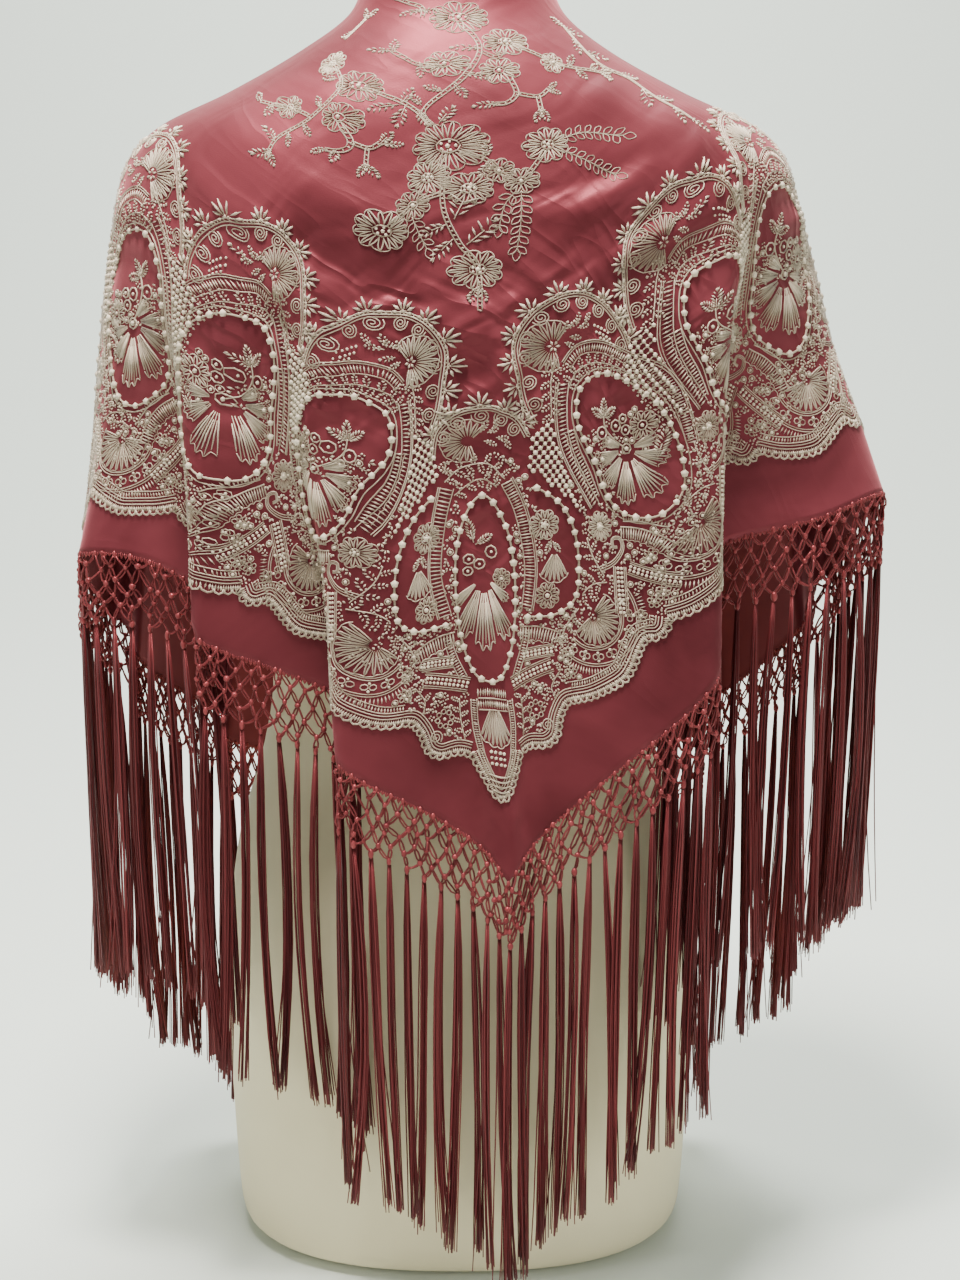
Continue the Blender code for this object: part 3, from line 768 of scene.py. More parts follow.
def addChain(work, corners, closed=True, pitch=0.86):
    # beads with a thick thread between them
    path = smoothPath(corners, closed)
    length = distances(path)[-1]
    count = max(2, round(length / pitch))
    middle = stations(path, length / count)[0]
    addBeads(work, middle[:count] if closed else middle)
    addLine(work, path, 0.85)


def insideShape(places, corners):
    # a place is inside when a line to its left crosses the outline an odd number of times
    inside = np.zeros(len(places), bool)
    corners = np.asarray(corners, float)
    for (x0, y0), (x1, y1) in zip(corners, np.roll(corners, -1, axis=0)):
        crosses = (y0 > places[:, 1]) != (y1 > places[:, 1])
        x = x0 + (places[:, 1] - y0) * (x1 - x0) / (y1 - y0 if y1 != y0 else 1e-9)
        inside ^= crosses & (places[:, 0] < x)
    return inside


def addKnotNet(work, corners, pitch=0.40, turn=45.0):
    # knots on a slanted grid inside a shape, joined by short threads
    corners = np.asarray(corners, float)
    middle, reach = corners.mean(0), np.ptp(corners, axis=0).max()
    steps = np.arange(-int(reach / pitch) - 1, int(reach / pitch) + 2) * pitch
    u, v = np.meshgrid(steps, steps)
    a, b = toward(turn), toward(turn + 82)
    places = middle + u.reshape(-1, 1) * a + v.reshape(-1, 1) * b
    places = places[insideShape(places, corners)]
    addBeads(work, places, threadLook["knot"])
    for way in (a, b):
        ends = places + way * pitch
        kept = insideShape(ends, corners)
        addStitches(work, places[kept], ends[kept], 0.42)


def addEdge(work, corners, pitch=0.5):
    # the scalloped border: small arcs outside, close stitches under them and lines inside
    path = smoothPath(corners)
    middle, side = stations(path, pitch, pitch / 2)
    angle = np.radians(np.linspace(-8, 188, 5))[:, None]
    for m, s, a in zip(middle, side, quarterTurn(side)):
        addLine(work, m - s * 0.06 + a * np.cos(angle) * pitch * 0.52 - s * np.sin(angle) * 0.30, 0.88)
    dense, side = stations(path, 0.14, 0.03)
    addStitches(work, dense - side * 0.2, dense + side * 0.28, 0.7)
    for distance, thick in ((0.34, 0.56), (0.56, 0.44), (0.74, 0.44)):
        addLine(work, shifted(path, distance), thick)


def addBar(work, start, end, width):
    # a bar with double lines at its sides and two rows of beads between
    length = math.dist(start, end)
    path = np.linspace(start, end, max(4, int(length / 0.2)))
    for share in (-0.5, -0.36, 0.36, 0.5):
        addLine(work, shifted(path, share * width), 0.38)
    middle, side = stations(path, 0.3, 0.12)
    addBeads(work, np.concatenate([middle + side * width * 0.14, middle - side * width * 0.14]), 1.15)


def addScroll(work, corners):
    # three lines that come together along a curl
    path = smoothPath(corners)
    fade = np.linspace(1, 0.4, len(path))
    for distance in (-0.17, 0.0, 0.17):
        addLine(work, shifted(path, distance * fade), 0.36)


def addLeafRow(work, corners, pitch, length, width, turn=55, first=0.2):
    # leaves that stand alternately on both sides of a stem
    path = smoothPath(corners)
    addLine(work, path, 0.45)
    for i, (m, s) in enumerate(zip(*stations(path, pitch, first))):
        way = 1 if i % 2 else -1
        addLeaf(work, m, heading(quarterTurn(s)) + way * turn, length, width, 4, rib=False)


def addRingGroup(work, place, radius, rings=5, size=0.17):
    # small rings round a bead
    for i in range(rings):
        addRing(work, place + toward(90 + 360 / rings * i) * radius, size, 0.42)
    addBeads(work, place, 1.2)


def addEyes(work, rows, thick, bead):
    # rings with a bead in each
    for x, y, radius in rows:
        addRing(work, (x, y), radius, thick)
        addBeads(work, (x, y), bead)


# One paisley of the border, as it stands first to the right of the middle
arcLine = [(3.1, 30.9), (2.45, 32.4), (2.1, 34.0), (1.8, 36.2), (2.6, 38.0), (4.0, 39.1), (5.7, 39.3),
           (7.5, 38.6), (9.0, 37.3), (9.8, 36.1)]
dropLine = [(8.2, 34.4), (6.8, 34.0), (5.95, 33.1), (5.85, 31.8), (6.2, 30.6), (7.0, 29.5), (8.0, 28.2), (8.8, 26.7),
            (10.0, 25.6), (11.7, 25.2), (13.1, 25.4), (13.9, 26.5), (13.8, 28.2), (13.3, 29.9), (12.4, 31.8),
            (11.4, 33.1), (10.0, 34.0)]
edgeLine = [(6.6, 12.4), (8.0, 12.75), (9.3, 13.4), (10.4, 14.2), (11.0, 15.2), (11.5, 16.4), (12.0, 17.15),
            (12.8, 17.3), (13.3, 17.8), (13.44, 18.55)]


def arcMotif(work, corners, first, pitch=1.62):
    # a triple line with half daisies outside, spirals inside and slanted stitches on it
    path = smoothPath(corners)
    for distance, thick in ((0.0, 0.6), (-0.17, 0.5), (0.16, 0.5)):
        addLine(work, shifted(path, distance), thick)
    for m, s in zip(*stations(path, pitch, first)):
        addDaisy(work, m + s * 0.16, heading(s))
        addSpiral(work, m - s * 0.50, 0.50, heading(s), 2.8)
    middle, side = stations(path, 0.24, 0.1)
    addStitches(work, middle - side * 0.04, middle + side * 0.2 + quarterTurn(side) * 0.18, 0.42)


def addShell(work):
    # the shell over each step of the border, with rings and close stitches round it, and the scalloped edge
    shell = np.array((8.1, 18.2))
    addFan(work, shell, -40, 205, 0.35, 2.0, 16, 0.6)
    for radius, thick in ((2.2, 0.4), (2.36, 0.4), (3.3, 0.38), (3.46, 0.38)):
        addLine(work, shell + radius * toward(np.linspace(-135, 40, 40)), thick)
    for turn in range(-125, 40, 22):
        ray = toward(turn)
        for way in (1, -1):
            addRing(work, shell + ray * 2.82 + toward(turn + 90) * 0.22 * way, 0.2, 0.42)
        addBeads(work, [shell + ray * 2.55, shell + ray * 3.1], 1.1)
    rays = toward(np.arange(-128, 30, 3.4))
    addStitches(work, shell + rays * 3.55, shell + rays * 4.1, 0.44)
    addLadder(work, shifted(smoothPath(edgeLine, step=0.6), 0.95), 0.42, 0.2, 0.05)
    for place in ((5.6, 16.6), (6.1, 15.4), (6.4, 14.2), (12.6, 19.6), (13.2, 20.1), (11.7, 18.6)):
        addRingGroup(work, place, 0.3, 5, 0.15)
    addEdge(work, edgeLine)


def paisley():
    # an arc over a drop that is outlined with beads, ladders round it and the shell under it
    work = newWork()
    arcMotif(work, arcLine, 1.3)
    addFan(work, (3.9, 36.0), 175, 240, 0.45, 1.7, 17)
    around = toward(np.arange(0, 360, 60))
    addStitches(work, (3.95, 36.0) + around * 0.08, (3.95, 36.0) + around * 0.42, 0.8)
    addLeaves(work, ((4.5, 36.9, 75), (4.8, 37.2, 40), (5.3, 37.4, 80), (5.5, 37.2, 15), (5.9, 37.5, 60),
                     (5.0, 36.6, -5), (4.7, 36.2, -20)), 0.72, 0.42, 4)
    t = np.arange(5)
    for y, start in ((37.35, 6.7), (36.95, 6.9), (36.6, 7.3)):
        addBeads(work, np.stack([start + 0.3 * t, y - 0.06 * t**1.3], axis=1), 0.95)
    addLeafRow(work, [(4.25, 35.3), (3.95, 34.0), (4.0, 32.6), (4.1, 31.4)], 0.36, 0.72, 0.46, 50)
    addLeafRow(work, [(5.1, 33.2), (5.7, 34.4), (7.2, 35.0), (9.2, 34.8), (10.8, 34.0), (12.0, 32.6), (12.9, 31.0)],
               0.3, 0.66, 0.46, 78)
    addLadder(work, [(4.9, 34.7), (5.7, 35.7), (7.4, 36.0), (9.5, 35.5), (11.3, 34.6), (12.6, 33.2), (13.5, 31.4),
                     (14.2, 29.4)], 0.66, 0.2, 0.05, (2, 1))
    addLadder(work, [(4.75, 33.6), (4.75, 32.0), (5.1, 29.9), (6.1, 28.0), (8.0, 25.7)], 0.72, 0.27, -0.06, (1, 2))
    addComb(work, [(5.75, 30.6), (6.4, 29.2), (7.4, 27.8), (8.3, 26.3)], 0.66)
    addChain(work, dropLine)
    addLine(work, shifted(smoothPath(dropLine, True), -0.36), 0.5)
    # inside the drop
    addLeaves(work, ((8.2, 31.5, 155), (8.3, 31.5, 42), (8.25, 31.6, 98)), 1.15, 0.66, 6)
    addLine(work, smoothPath([(8.2, 31.6), (8.5, 30.8), (9.3, 30.2), (10.4, 29.7)]), 0.6)
    addEyes(work, ((8.2, 30.5, 0.42), (9.35, 31.1, 0.4), (8.9, 30.0, 0.34), (10.2, 30.9, 0.34), (9.9, 31.6, 0.3)),
            0.62, 1.2)
    addWheel(work, (11.4, 31.2), 0.85, 8, 0.42)
    addLeaf(work, (12.5, 29.0), 82, 1.7, 0.9, 8)
    for turn, length in ((206, 2.3), (240, 2.7), (274, 3.3), (309, 3.5), (343, 2.4), (18, 1.7), (172, 1.7)):
        addLongLeaf(work, (10.4, 29.7) + toward(turn) * 0.35, turn, length, 30, 8)
    addEyes(work, [(10.4, 29.7, 0.34)], 0.7, 1.8)
    addLeaves(work, ((8.0, 29.2, 215), (7.6, 29.7, 215), (8.6, 28.4, 215), (9.1, 27.4, 215), (9.6, 26.7, 215)),
              0.6, 0.4, 3)
    # between two paisleys
    addKnotNet(work, [(4.2, 31.3), (2.9, 29.9), (2.7, 28.3), (3.9, 27.1), (6.8, 25.2), (4.9, 28.6)])
    addWheel(work, (8.5, 24.3), 0.95, 8, 0.3)
    addComb(work, [(10.2, 24.5), (11.6, 24.5), (13.0, 24.0), (14.0, 23.2)], 0.85, 0.2)
    addComb(work, [(10.4, 24.9), (11.8, 24.95), (13.4, 24.5)], -0.3, 0.2, False)
    addScroll(work, [(8.6, 21.4), (9.7, 22.0), (10.4, 23.0), (10.2, 23.7), (9.6, 23.6), (9.65, 23.1), (10.0, 23.1)])
    addBar(work, (10.2, 21.8), (10.4, 18.6), 0.95)
    addBar(work, (10.9, 21.8), (14.3, 20.9), 0.9)
    addLeafRow(work, [(9.0, 21.0), (8.0, 22.2), (7.4, 23.4)], 0.42, 0.85, 0.45)
    addLeafRow(work, [(9.2, 20.6), (8.0, 20.3), (7.2, 19.6)], 0.4, 0.8, 0.45, 60)
    addLeaves(work, ((14.3, 25.5, 100), (14.6, 26.6, 80), (14.7, 27.8, 95), (14.3, 24.6, 60), (9.5, 24.9, 60)),
              1.0, 0.55, 5)
    addShell(work)
    return work


def middleHalf(work, way):
    # the outlined drop beside the tongue, with what lies under it
    def at(*corners):
        return mirrored(way, *corners)

    def aim(turn):
        return turn if way > 0 else 180 - turn

    addChain(work, at((3.4, 26.7), (5.2, 25.5), (6.3, 23.8), (6.8, 21.6), (6.6, 19.3), (5.0, 18.1), (3.0, 18.0)), False)
    addWheel(work, (4.0 * way, 24.2), 0.95, 8, 0.45)
    addLeaf(work, (4.5 * way, 23.1), aim(250), 0.9, 0.5)
    addLeaf(work, (4.7 * way, 23.0), aim(310), 0.8, 0.45)
    addFan(work, (4.8 * way, 22.4), aim(272), 72, 0.25, 2.0, 7, 0.5)
    addWheel(work, (4.4 * way, 19.4), 0.82, 8, 0.45)
    addComb(work, at((2.4, 17.4), (3.8, 17.3), (5.4, 16.9))[::way], 0.95, 0.22)
    addLeafRow(work, at((6.9, 18.6), (6.0, 17.5), (5.4, 16.2)), 0.4, 0.7, 0.42, 60)
    addBar(work, *at((1.7, 13.6), (4.9, 14.7)), 1.0)
    addBar(work, *at((2.6, 15.4), (5.0, 15.7)), 0.8)
    addRingGroup(work, (3.6 * way, 11.6), 0.52, 8)
    addSpiral(work, (4.4 * way, 10.5), 0.5, 90, 2.4)
    addLeafRow(work, at((2.4, 9.9), (2.5, 11.2), (2.4, 12.8)), 0.36, 0.6, 0.36, 60)
    addLeafRow(work, at((5.2, 12.3), (4.9, 13.2), (5.6, 14.4)), 0.4, 0.6, 0.4, 60)
    addLadder(work, at((3.0, 17.2), (2.6, 15.6), (2.0, 14.1)), 0.5)
    addEdge(work, at((2.2, 8.9), (3.0, 9.2), (4.2, 9.2), (5.0, 9.8), (5.3, 11.0), (5.9, 12.1), (6.6, 12.4))[::way])


def middleMotif():
    # an arc over an outlined drop, half drops at both sides and a tongue that hangs to the point
    work = newWork()
    arcMotif(work, [(-3.1, 29.2), (-2.7, 30.9), (-1.6, 31.9), (-0.4, 32.2), (0.9, 32.1), (2.0, 31.4), (2.7, 30.2)],
             1.6, 1.5)
    addFan(work, (-1.0, 30.1), 165, 250, 0.35, 1.4, 15)
    addLeaves(work, ((-0.3, 30.7, 60), (0.1, 30.6, 25), (0.5, 30.9, 70), (0.7, 30.3, 0), (-0.1, 30.0, -15),
                     (1.2, 30.2, -60), (-2.0, 28.9, 200), (-1.9, 28.2, 160)), 0.75, 0.42, 4)
    addLeafRow(work, [(-2.4, 27.6), (-1.4, 28.4), (0.0, 28.5), (1.2, 27.6)], 0.34, 0.7, 0.42, 75)
    addLeafRow(work, [(-1.9, 26.6), (-0.6, 27.5), (0.6, 27.0)], 0.36, 0.6, 0.4, 75)
    addLadder(work, [(-2.3, 27.2), (-3.0, 24.8), (-3.5, 21.5), (-3.0, 18.6)], 0.85, 0.27, 0.05, (1, 2))
    addLadder(work, [(1.3, 27.4), (2.4, 25.0), (3.1, 21.5), (2.9, 18.4)], 0.75, 0.22, 0.05, (2, 1))
    addChain(work, [(-0.4, 26.4), (0.8, 25.3), (1.6, 23.3), (2.0, 20.1), (1.8, 16.6), (0.9, 14.3), (-0.2, 13.7),
                    (-1.3, 14.4), (-2.0, 16.8), (-2.2, 19.8), (-2.0, 22.9), (-1.3, 25.3)], True, 0.9)
    addLeaf(work, (-1.0, 23.4), 100, 1.5, 0.6, 7)
    addLeaf(work, (-0.8, 23.2), 30, 1.1, 0.6, 6)
    addEyes(work, ((0.1, 22.6, 0.42), (-1.3, 22.2, 0.34), (-0.7, 21.8, 0.34), (-1.4, 21.4, 0.3)), 0.6, 1.1)
    addWheel(work, (0.9, 20.9), 0.62, 7, 0.4)
    for turn, length in ((249, 3.9), (271, 4.7), (294, 4.1), (222, 2.2), (322, 2.0)):
        addLongLeaf(work, (-0.5, 20.9) + toward(turn) * 0.35, turn, length, 20, 7)
    for way in (-1, 1):
        middleHalf(work, way)
    # the tongue
    for y, half in ((13.0, 1.15), (12.2, 1.2)):
        x = np.arange(-half, half, 0.17)
        rung = np.stack([x, np.full(len(x), y)], axis=1)
        addStitches(work, rung - (0, 0.32), rung + (0.05, 0.32), 0.52)
        addLine(work, [(-half, y - 0.38), (0, y - 0.42), (half, y - 0.38)], 0.55)
    addFan(work, (0.0, 12.4), 270, 62, 0.7, 3.0, 9, 0.5)
    addBeads(work, [(x, y) for y in (8.9, 8.5, 8.1) for x in (-0.55, -0.2, 0.2, 0.55)], 1.2)
    for way in (-1, 1):
        addLadder(work, mirrored(way, (1.45, 12.6), (1.55, 10.6), (1.25, 8.4), (0.8, 7.2)), 0.4, 0.17, 0.04)
    for y, half in ((7.35, 0.95), (7.0, 0.9), (6.65, 0.8), (6.3, 0.65)):
        addLine(work, smoothPath([(-half, y), (0, y - 0.12), (half, y)]), 0.75)
    addEdge(work, [(-2.0, 8.9), (-1.65, 8.0), (-1.1, 6.9), (-0.6, 6.1), (0.0, 5.85), (0.6, 6.1), (1.1, 6.9),
                   (1.65, 8.0), (2.0, 8.9)])
    return work


# Sprays of flowers over the shoulder blades, placed on the cut itself
stems = (
    [(-1.0, 58.0), (-0.4, 56.0), (-1.0, 54.0), (-1.7, 52.9), (-2.8, 51.6), (-2.4, 50.6)],
    [(0.8, 56.2), (0.4, 55.2), (-0.3, 55.6)], [(0.8, 53.6), (1.0, 52.5), (0.6, 51.9), (0.0, 51.9)],
    [(1.0, 52.5), (1.9, 52.2), (2.5, 52.7)], [(1.9, 52.2), (2.0, 51.1)],
    [(-1.7, 54.6), (-3.0, 55.0), (-3.8, 56.0)], [(1.0, 56.2), (3.2, 54.9), (4.9, 54.5), (6.8, 54.0)],
    [(5.6, 58.6), (6.6, 55.6), (8.6, 53.4), (10.2, 51.2), (12.0, 49.4)],
    [(-6.7, 55.0), (-6.1, 53.2), (-7.9, 51.3), (-10.1, 50.2), (-10.9, 48.9)],
    [(-5.2, 53.2), (-4.4, 52.9), (-3.2, 51.8), (-2.5, 50.6)],
    [(-6.2, 51.0), (-6.0, 49.7), (-6.4, 49.1), (-7.0, 49.1)], [(-6.0, 49.7), (-5.2, 49.4), (-4.7, 49.8)],
    [(-5.3, 49.4), (-5.5, 48.2)], [(-8.0, 51.4), (-9.4, 52.2), (-11.2, 52.6)],
    [(-2.0, 49.0), (-2.2, 47.3), (-2.3, 45.1), (-1.8, 42.9), (-1.2, 41.4), (-1.2, 38.6)],
    [(-2.3, 46.2), (-3.8, 45.7), (-5.2, 44.6)],
    [(-1.6, 48.8), (-0.6, 48.2), (0.2, 47.2), (1.0, 46.7), (2.1, 48.6)], [(-6.9, 57.6), (-5.6, 59.2)],
    [(-3.6, 60.3), (-2.6, 59.4), (-2.6, 58.6)],
)
flowers = (  # x, y, radius, petals
    (-1.0, 58.4, 1.15, 9), (0.8, 56.4, 1.0, 8), (-1.7, 54.8, 0.85, 8), (0.35, 54.2, 0.85, 8),
    (-5.3, 53.4, 1.0, 9), (-7.1, 55.4, 0.95, 8), (-6.2, 51.2, 0.9, 8), (-9.5, 52.3, 0.75, 7),
    (-1.9, 49.2, 1.5, 11), (-2.9, 47.3, 1.0, 8), (-1.3, 46.4, 0.95, 8), (-3.8, 45.7, 0.85, 8),
    (-5.4, 44.4, 1.15, 9), (-1.2, 41.2, 1.15, 9), (1.0, 46.7, 0.75, 8), (2.2, 48.9, 1.05, 9),
    (0.0, 47.5, 0.7, 7), (3.2, 54.8, 0.75, 7),
)
leaves = (  # x, y, direction, length
    (-0.4, 55.9, 175, 0.8), (-1.0, 54.0, -20, 0.8), (-1.4, 53.2, -70, 0.7), (-1.9, 52.9, 150, 0.7),
    (-2.9, 52.1, 120, 0.7), (-3.8, 56.0, 80, 0.7), (-3.9, 56.0, 170, 0.7), (-2.8, 55.0, -90, 0.8),
    (0.1, 51.9, 190, 0.8), (2.5, 52.7, 40, 0.6), (2.5, 52.6, -20, 0.6), (2.0, 51.3, 250, 0.7),
    (2.0, 51.3, 290, 0.7), (4.4, 54.6, 60, 0.9), (4.9, 54.4, -60, 0.8), (5.8, 54.3, 30, 0.9),
    (6.6, 54.0, -40, 0.8), (6.8, 54.0, 15, 0.8), (5.6, 58.4, -25, 1.2), (5.9, 57.4, -100, 1.3),
    (6.4, 56.1, -20, 1.4), (7.2, 54.9, -95, 1.3), (8.1, 53.9, -10, 1.4), (9.2, 52.5, -90, 1.3),
    (10.0, 51.5, -5, 1.3), (10.9, 50.5, -85, 1.2), (12.0, 49.5, -50, 1.2), (5.6, 58.5, 150, 1.0),
    (-6.5, 54.0, 170, 0.8), (-7.3, 51.9, 110, 0.7), (-8.4, 50.9, -60, 0.8), (-9.4, 50.4, -90, 0.7),
    (-10.3, 50.0, 120, 0.8), (-10.6, 49.4, 190, 0.8), (-10.7, 49.4, 290, 0.8), (-11.2, 52.6, 130, 0.8),
    (-10.4, 52.4, 250, 0.7), (-3.8, 52.3, 60, 0.9), (-3.7, 52.0, 250, 1.0), (-3.1, 51.8, 290, 0.9),
    (-4.0, 52.2, 200, 0.9), (-7.0, 49.1, 190, 0.7), (-6.5, 49.1, 250, 0.6), (-4.7, 49.8, 60, 0.6),
    (-4.7, 49.7, 0, 0.6), (-5.5, 48.4, 240, 0.7), (-5.5, 48.4, 300, 0.7), (-2.1, 50.8, 60, 0.9),
    (-1.9, 44.6, 70, 1.7), (-2.3, 44.2, 200, 1.1), (-1.5, 42.9, 50, 1.6), (-2.1, 43.2, 230, 1.2),
    (-1.3, 40.0, 250, 0.7), (-1.2, 40.0, 290, 0.7), (-0.6, 48.4, 80, 0.8), (-0.4, 48.0, 240, 0.8),
    (-5.5, 59.2, 30, 0.8), (-5.6, 59.2, 110, 0.8), (-6.4, 58.2, 200, 0.7), (-2.6, 59.2, 200, 0.7),
    (-2.6, 59.2, -20, 0.7),
)
sprays = (
    [(2.9, 49.2), (4.2, 49.6), (5.6, 49.5), (6.8, 49.1)], [(2.9, 48.5), (3.9, 48.0), (5.2, 47.4), (6.4, 46.8)],
    [(1.0, 46.1), (1.0, 45.0), (0.95, 43.8), (0.8, 42.4)], [(0.8, 46.1), (0.2, 45.3), (-0.1, 44.0)],
    [(-3.9, 45.0), (-3.7, 44.2), (-3.3, 42.9)],
)


def upperSpray():
    # double stems with slanted stitches, looped flowers, satin leaves and sprays of outlined leaves
    work = newWork()
    for stem in stems:
        path = smoothPath(stem)
        addLine(work, shifted(path, 0.09), 0.5)
        addLine(work, shifted(path, -0.09), 0.5)
        middle, side = stations(path, 0.3, 0.1)
        addStitches(work, middle - side * 0.12, middle + side * 0.12 + side[:, ::-1] * [0.1, -0.1], 0.45)
    for x, y, radius, petals in flowers:
        addWheel(work, (x, y), radius, petals, 0.34)
    for x, y, turn, length in leaves:
        addLeaf(work, (x, y), turn, length * 1.28, length * 0.72)
    for spray in sprays:
        path = smoothPath(spray)
        addLine(work, path, 0.34)
        for m, s in zip(*stations(path, 0.64, 0.35)):
            for way in (-1, 1):
                addLoopLeaf(work, m, heading(quarterTurn(s)) + way * 44, 0.66)
        addLoopLeaf(work, path[-1], heading(path[-1] - path[-3]), 0.78)
    return work


def fillWork(work, corners, seed, gap=0.23, apart=0.38):
    # small leaves, knots and rings wherever a zone of close embroidery still has room
    rng = np.random.default_rng(seed)
    taken = [np.concatenate([s[:, :2], s[:, 2:4], (s[:, :2] + s[:, 2:4]) / 2]) for s in work["stitches"]]
    taken += [b[:, :2] for b in work["beads"]] + [line[0] for line in work["lines"]]
    taken = np.concatenate(taken)
    corners = np.asarray(corners, float)
    tries = rng.uniform(corners.min(0), corners.max(0), (3400, 2))
    placed = np.zeros((0, 2))
    for place in tries[insideShape(tries, corners)]:
        if np.hypot(*(taken - place).T).min() < gap:
            continue
        if len(placed) and np.hypot(*(placed - place).T).min() < apart:
            continue
        placed = np.concatenate([placed, place[None]])
        turn, kind = rng.uniform(0, 360), rng.random()
        if kind < 0.55:
            for spread in (-62, 0, 62):
                addStitches(work, place + toward(turn + spread) * 0.05, place + toward(turn + spread) * 0.34, 0.7)
        elif kind < 0.8:
            addEyes(work, [(*place, 0.21)], 0.4, 1.3)
        else:
            addLeaf(work, place - toward(turn) * 0.3, turn, 0.6, 0.42, 3, False)


def moved(work, change):
    # the same work with every place put through change
    out = newWork()
    for key, corners in (("stitches", 2), ("beads", 1)):
        for rows in work[key]:
            rows = rows.copy()
            for i in range(0, 2 * corners, 2):
                rows[:, i : i + 2] = change(rows[:, i : i + 2])
            out[key].append(rows)
    out["lines"] = [(change(path), radius) for path, radius in work["lines"]]
    return out


def middleLean(places):
    # the whole pattern stands a little left of the cut's middle, and the tongue comes back to the point
    places = places.copy()
    places[:, 0] -= 1.1 * np.clip(places[:, 1] / 13, 0, 1)
    return places


# Zones of close embroidery, each with the seed of its fill
paisleyZones = (
    (5, [(6.9, 25.2), (8.6, 26.0), (9.6, 25.0), (11.7, 24.7), (13.6, 24.9), (14.4, 26.5), (14.2, 28.5), (13.8, 30.5),
         (14.8, 31.0), (15.4, 28.0), (15.2, 24.5), (14.8, 21.5), (13.6, 19.2), (12.0, 17.7), (11.2, 16.4), (10.5, 15.0),
         (9.0, 14.2), (6.8, 13.2), (5.6, 14.0), (5.2, 17.5), (6.9, 19.0), (7.3, 21.5), (7.2, 23.5)]),
    (6, [(4.6, 34.4), (5.6, 36.2), (9.5, 36.1), (12.0, 34.9), (14.3, 31.5), (14.0, 29.0), (12.2, 32.5), (10.0, 34.4),
         (7.0, 34.5), (5.4, 33.2), (5.4, 30.8), (7.4, 28.2), (8.3, 25.8), (6.9, 25.0), (4.3, 28.0), (4.2, 32.0)]),
    (7, [(7.0, 30.0), (9.0, 31.6), (11.0, 32.4), (12.4, 31.0), (12.6, 29.5), (11.0, 29.6), (9.6, 29.0), (8.4, 27.6),
         (7.6, 28.8)]),
)
middleZones = (
    (8, [(2.3, 17.8), (6.6, 17.8), (6.3, 13.6), (5.2, 11.4), (4.6, 10.0), (2.4, 9.6), (1.9, 13.2)]),
    (9, [(2.2, 17.8), (2.4, 22.0), (1.6, 26.0), (0.0, 28.6), (0.0, 29.3), (2.0, 28.8), (3.0, 26.8), (3.9, 22.0),
         (3.4, 18.2)]),
)
cornerArc = [(4.6, 16.8), (4.8, 19.6), (6.4, 22.0), (9.2, 22.6), (12.0, 21.2), (13.4, 19.2)]
cornerZone = (10, [(5.6, 17.0), (6.2, 20.4), (9.0, 21.8), (12.0, 20.4), (12.6, 18.6), (9.6, 20.4), (6.8, 19.4)])
borderLook = {"step": 9.2, "heights": (1.0, 1.0, 1.0, 0.97, 0.74, 0.40), "lowFrom": 5, "corners": (6, 7)}


def borderWorks():
    # paisleys step along each leg; the last ones are lower, since the cloth narrows to its front points
    unitWork, middle, corner = paisley(), middleMotif(), newWork()
    for seed, corners in paisleyZones:
        fillWork(unitWork, corners, seed)
    for way in (-1, 1):
        for seed, corners in middleZones:
            fillWork(middle, mirrored(way, *corners), seed)
    addShell(corner)
    arcMotif(corner, cornerArc, 0.9)
    fillWork(corner, cornerZone[1], cornerZone[0])
    works = [moved(middle, middleLean), upperSpray()]
    along, across = np.array((legX, legY)), np.array((-legY, legX))
    base = borderLook["lowFrom"]
    for way in (-1, 1):
        def stepped(places, k, height):
            # height squeezes what stands more than 5 cm above the hem
            a, b = places @ along, places @ across
            b = np.where(b > base, base + (b - base) * height, b)
            places = (a + borderLook["step"] * k)[:, None] * along + b[:, None] * across
            return middleLean(places * (way, 1))

        for k, height in enumerate(borderLook["heights"]):
            works.append(moved(unitWork, lambda places: stepped(places, k, height)))
        for k in borderLook["corners"]:
            works.append(moved(corner, lambda places: middleLean((places + along * borderLook["step"] * k) * (way, 1))))
    return works


def grainParts(grains, start):
    # a short stitch is a grain: both ends, both sides and a top
    starts, up = onCloth(grains[:, 0:2])
    ends = onCloth(grains[:, 2:4])[0]
    wide = np.cross(up, unit(ends - starts)) * grains[:, 4:] * 1.15
    middle = (starts + ends) / 2
    top = middle + up * (grains[:, 4:] * 1.3 + 0.0003)
    verts = np.stack([starts, ends, middle + wide, middle - wide, top], axis=1).reshape(-1, 3)
    first = start + np.arange(len(grains))[:, None, None] * 5
    corners = np.array([(0, 3, 4), (3, 1, 4), (1, 2, 4), (2, 0, 4), (0, 2, 1), (0, 1, 3)])
    return verts, (first + corners).reshape(-1, 3)


def domeParts(beads, size, start):
    # a bead is a low dome: two rings, each size * wide across and size * high up, and a top
    count = threadLook["dome"]
    places, up = onCloth(beads[:, :2])
    across = unit(np.cross(up, np.array([0.31, 0.2, 1.0])))
    ring = roundProfile(count)
    spread = ring[None, :, :1] * across[:, None] + ring[None, :, 1:] * np.cross(up, across)[:, None]
    parts = []
    for wide, high in threadLook["domeRings"]:
        parts.append(places[:, None] + (spread * wide + up[:, None] * high) * size[:, None, None])
    parts.append((places + up * size[:, None] * threadLook["domeTop"])[:, None])
    verts = np.concatenate(parts, axis=1).reshape(-1, 3)
    first = start + np.arange(len(beads))[:, None] * (2 * count + 1)
    j = np.arange(count)[None]
    caps = np.stack([first + count + j, first + count + (j + 1) % count, first + 2 * count + 0 * j], axis=-1)
    return verts, [joinRings(first, count), caps.reshape(-1, 3), first + j[:, ::-1]]


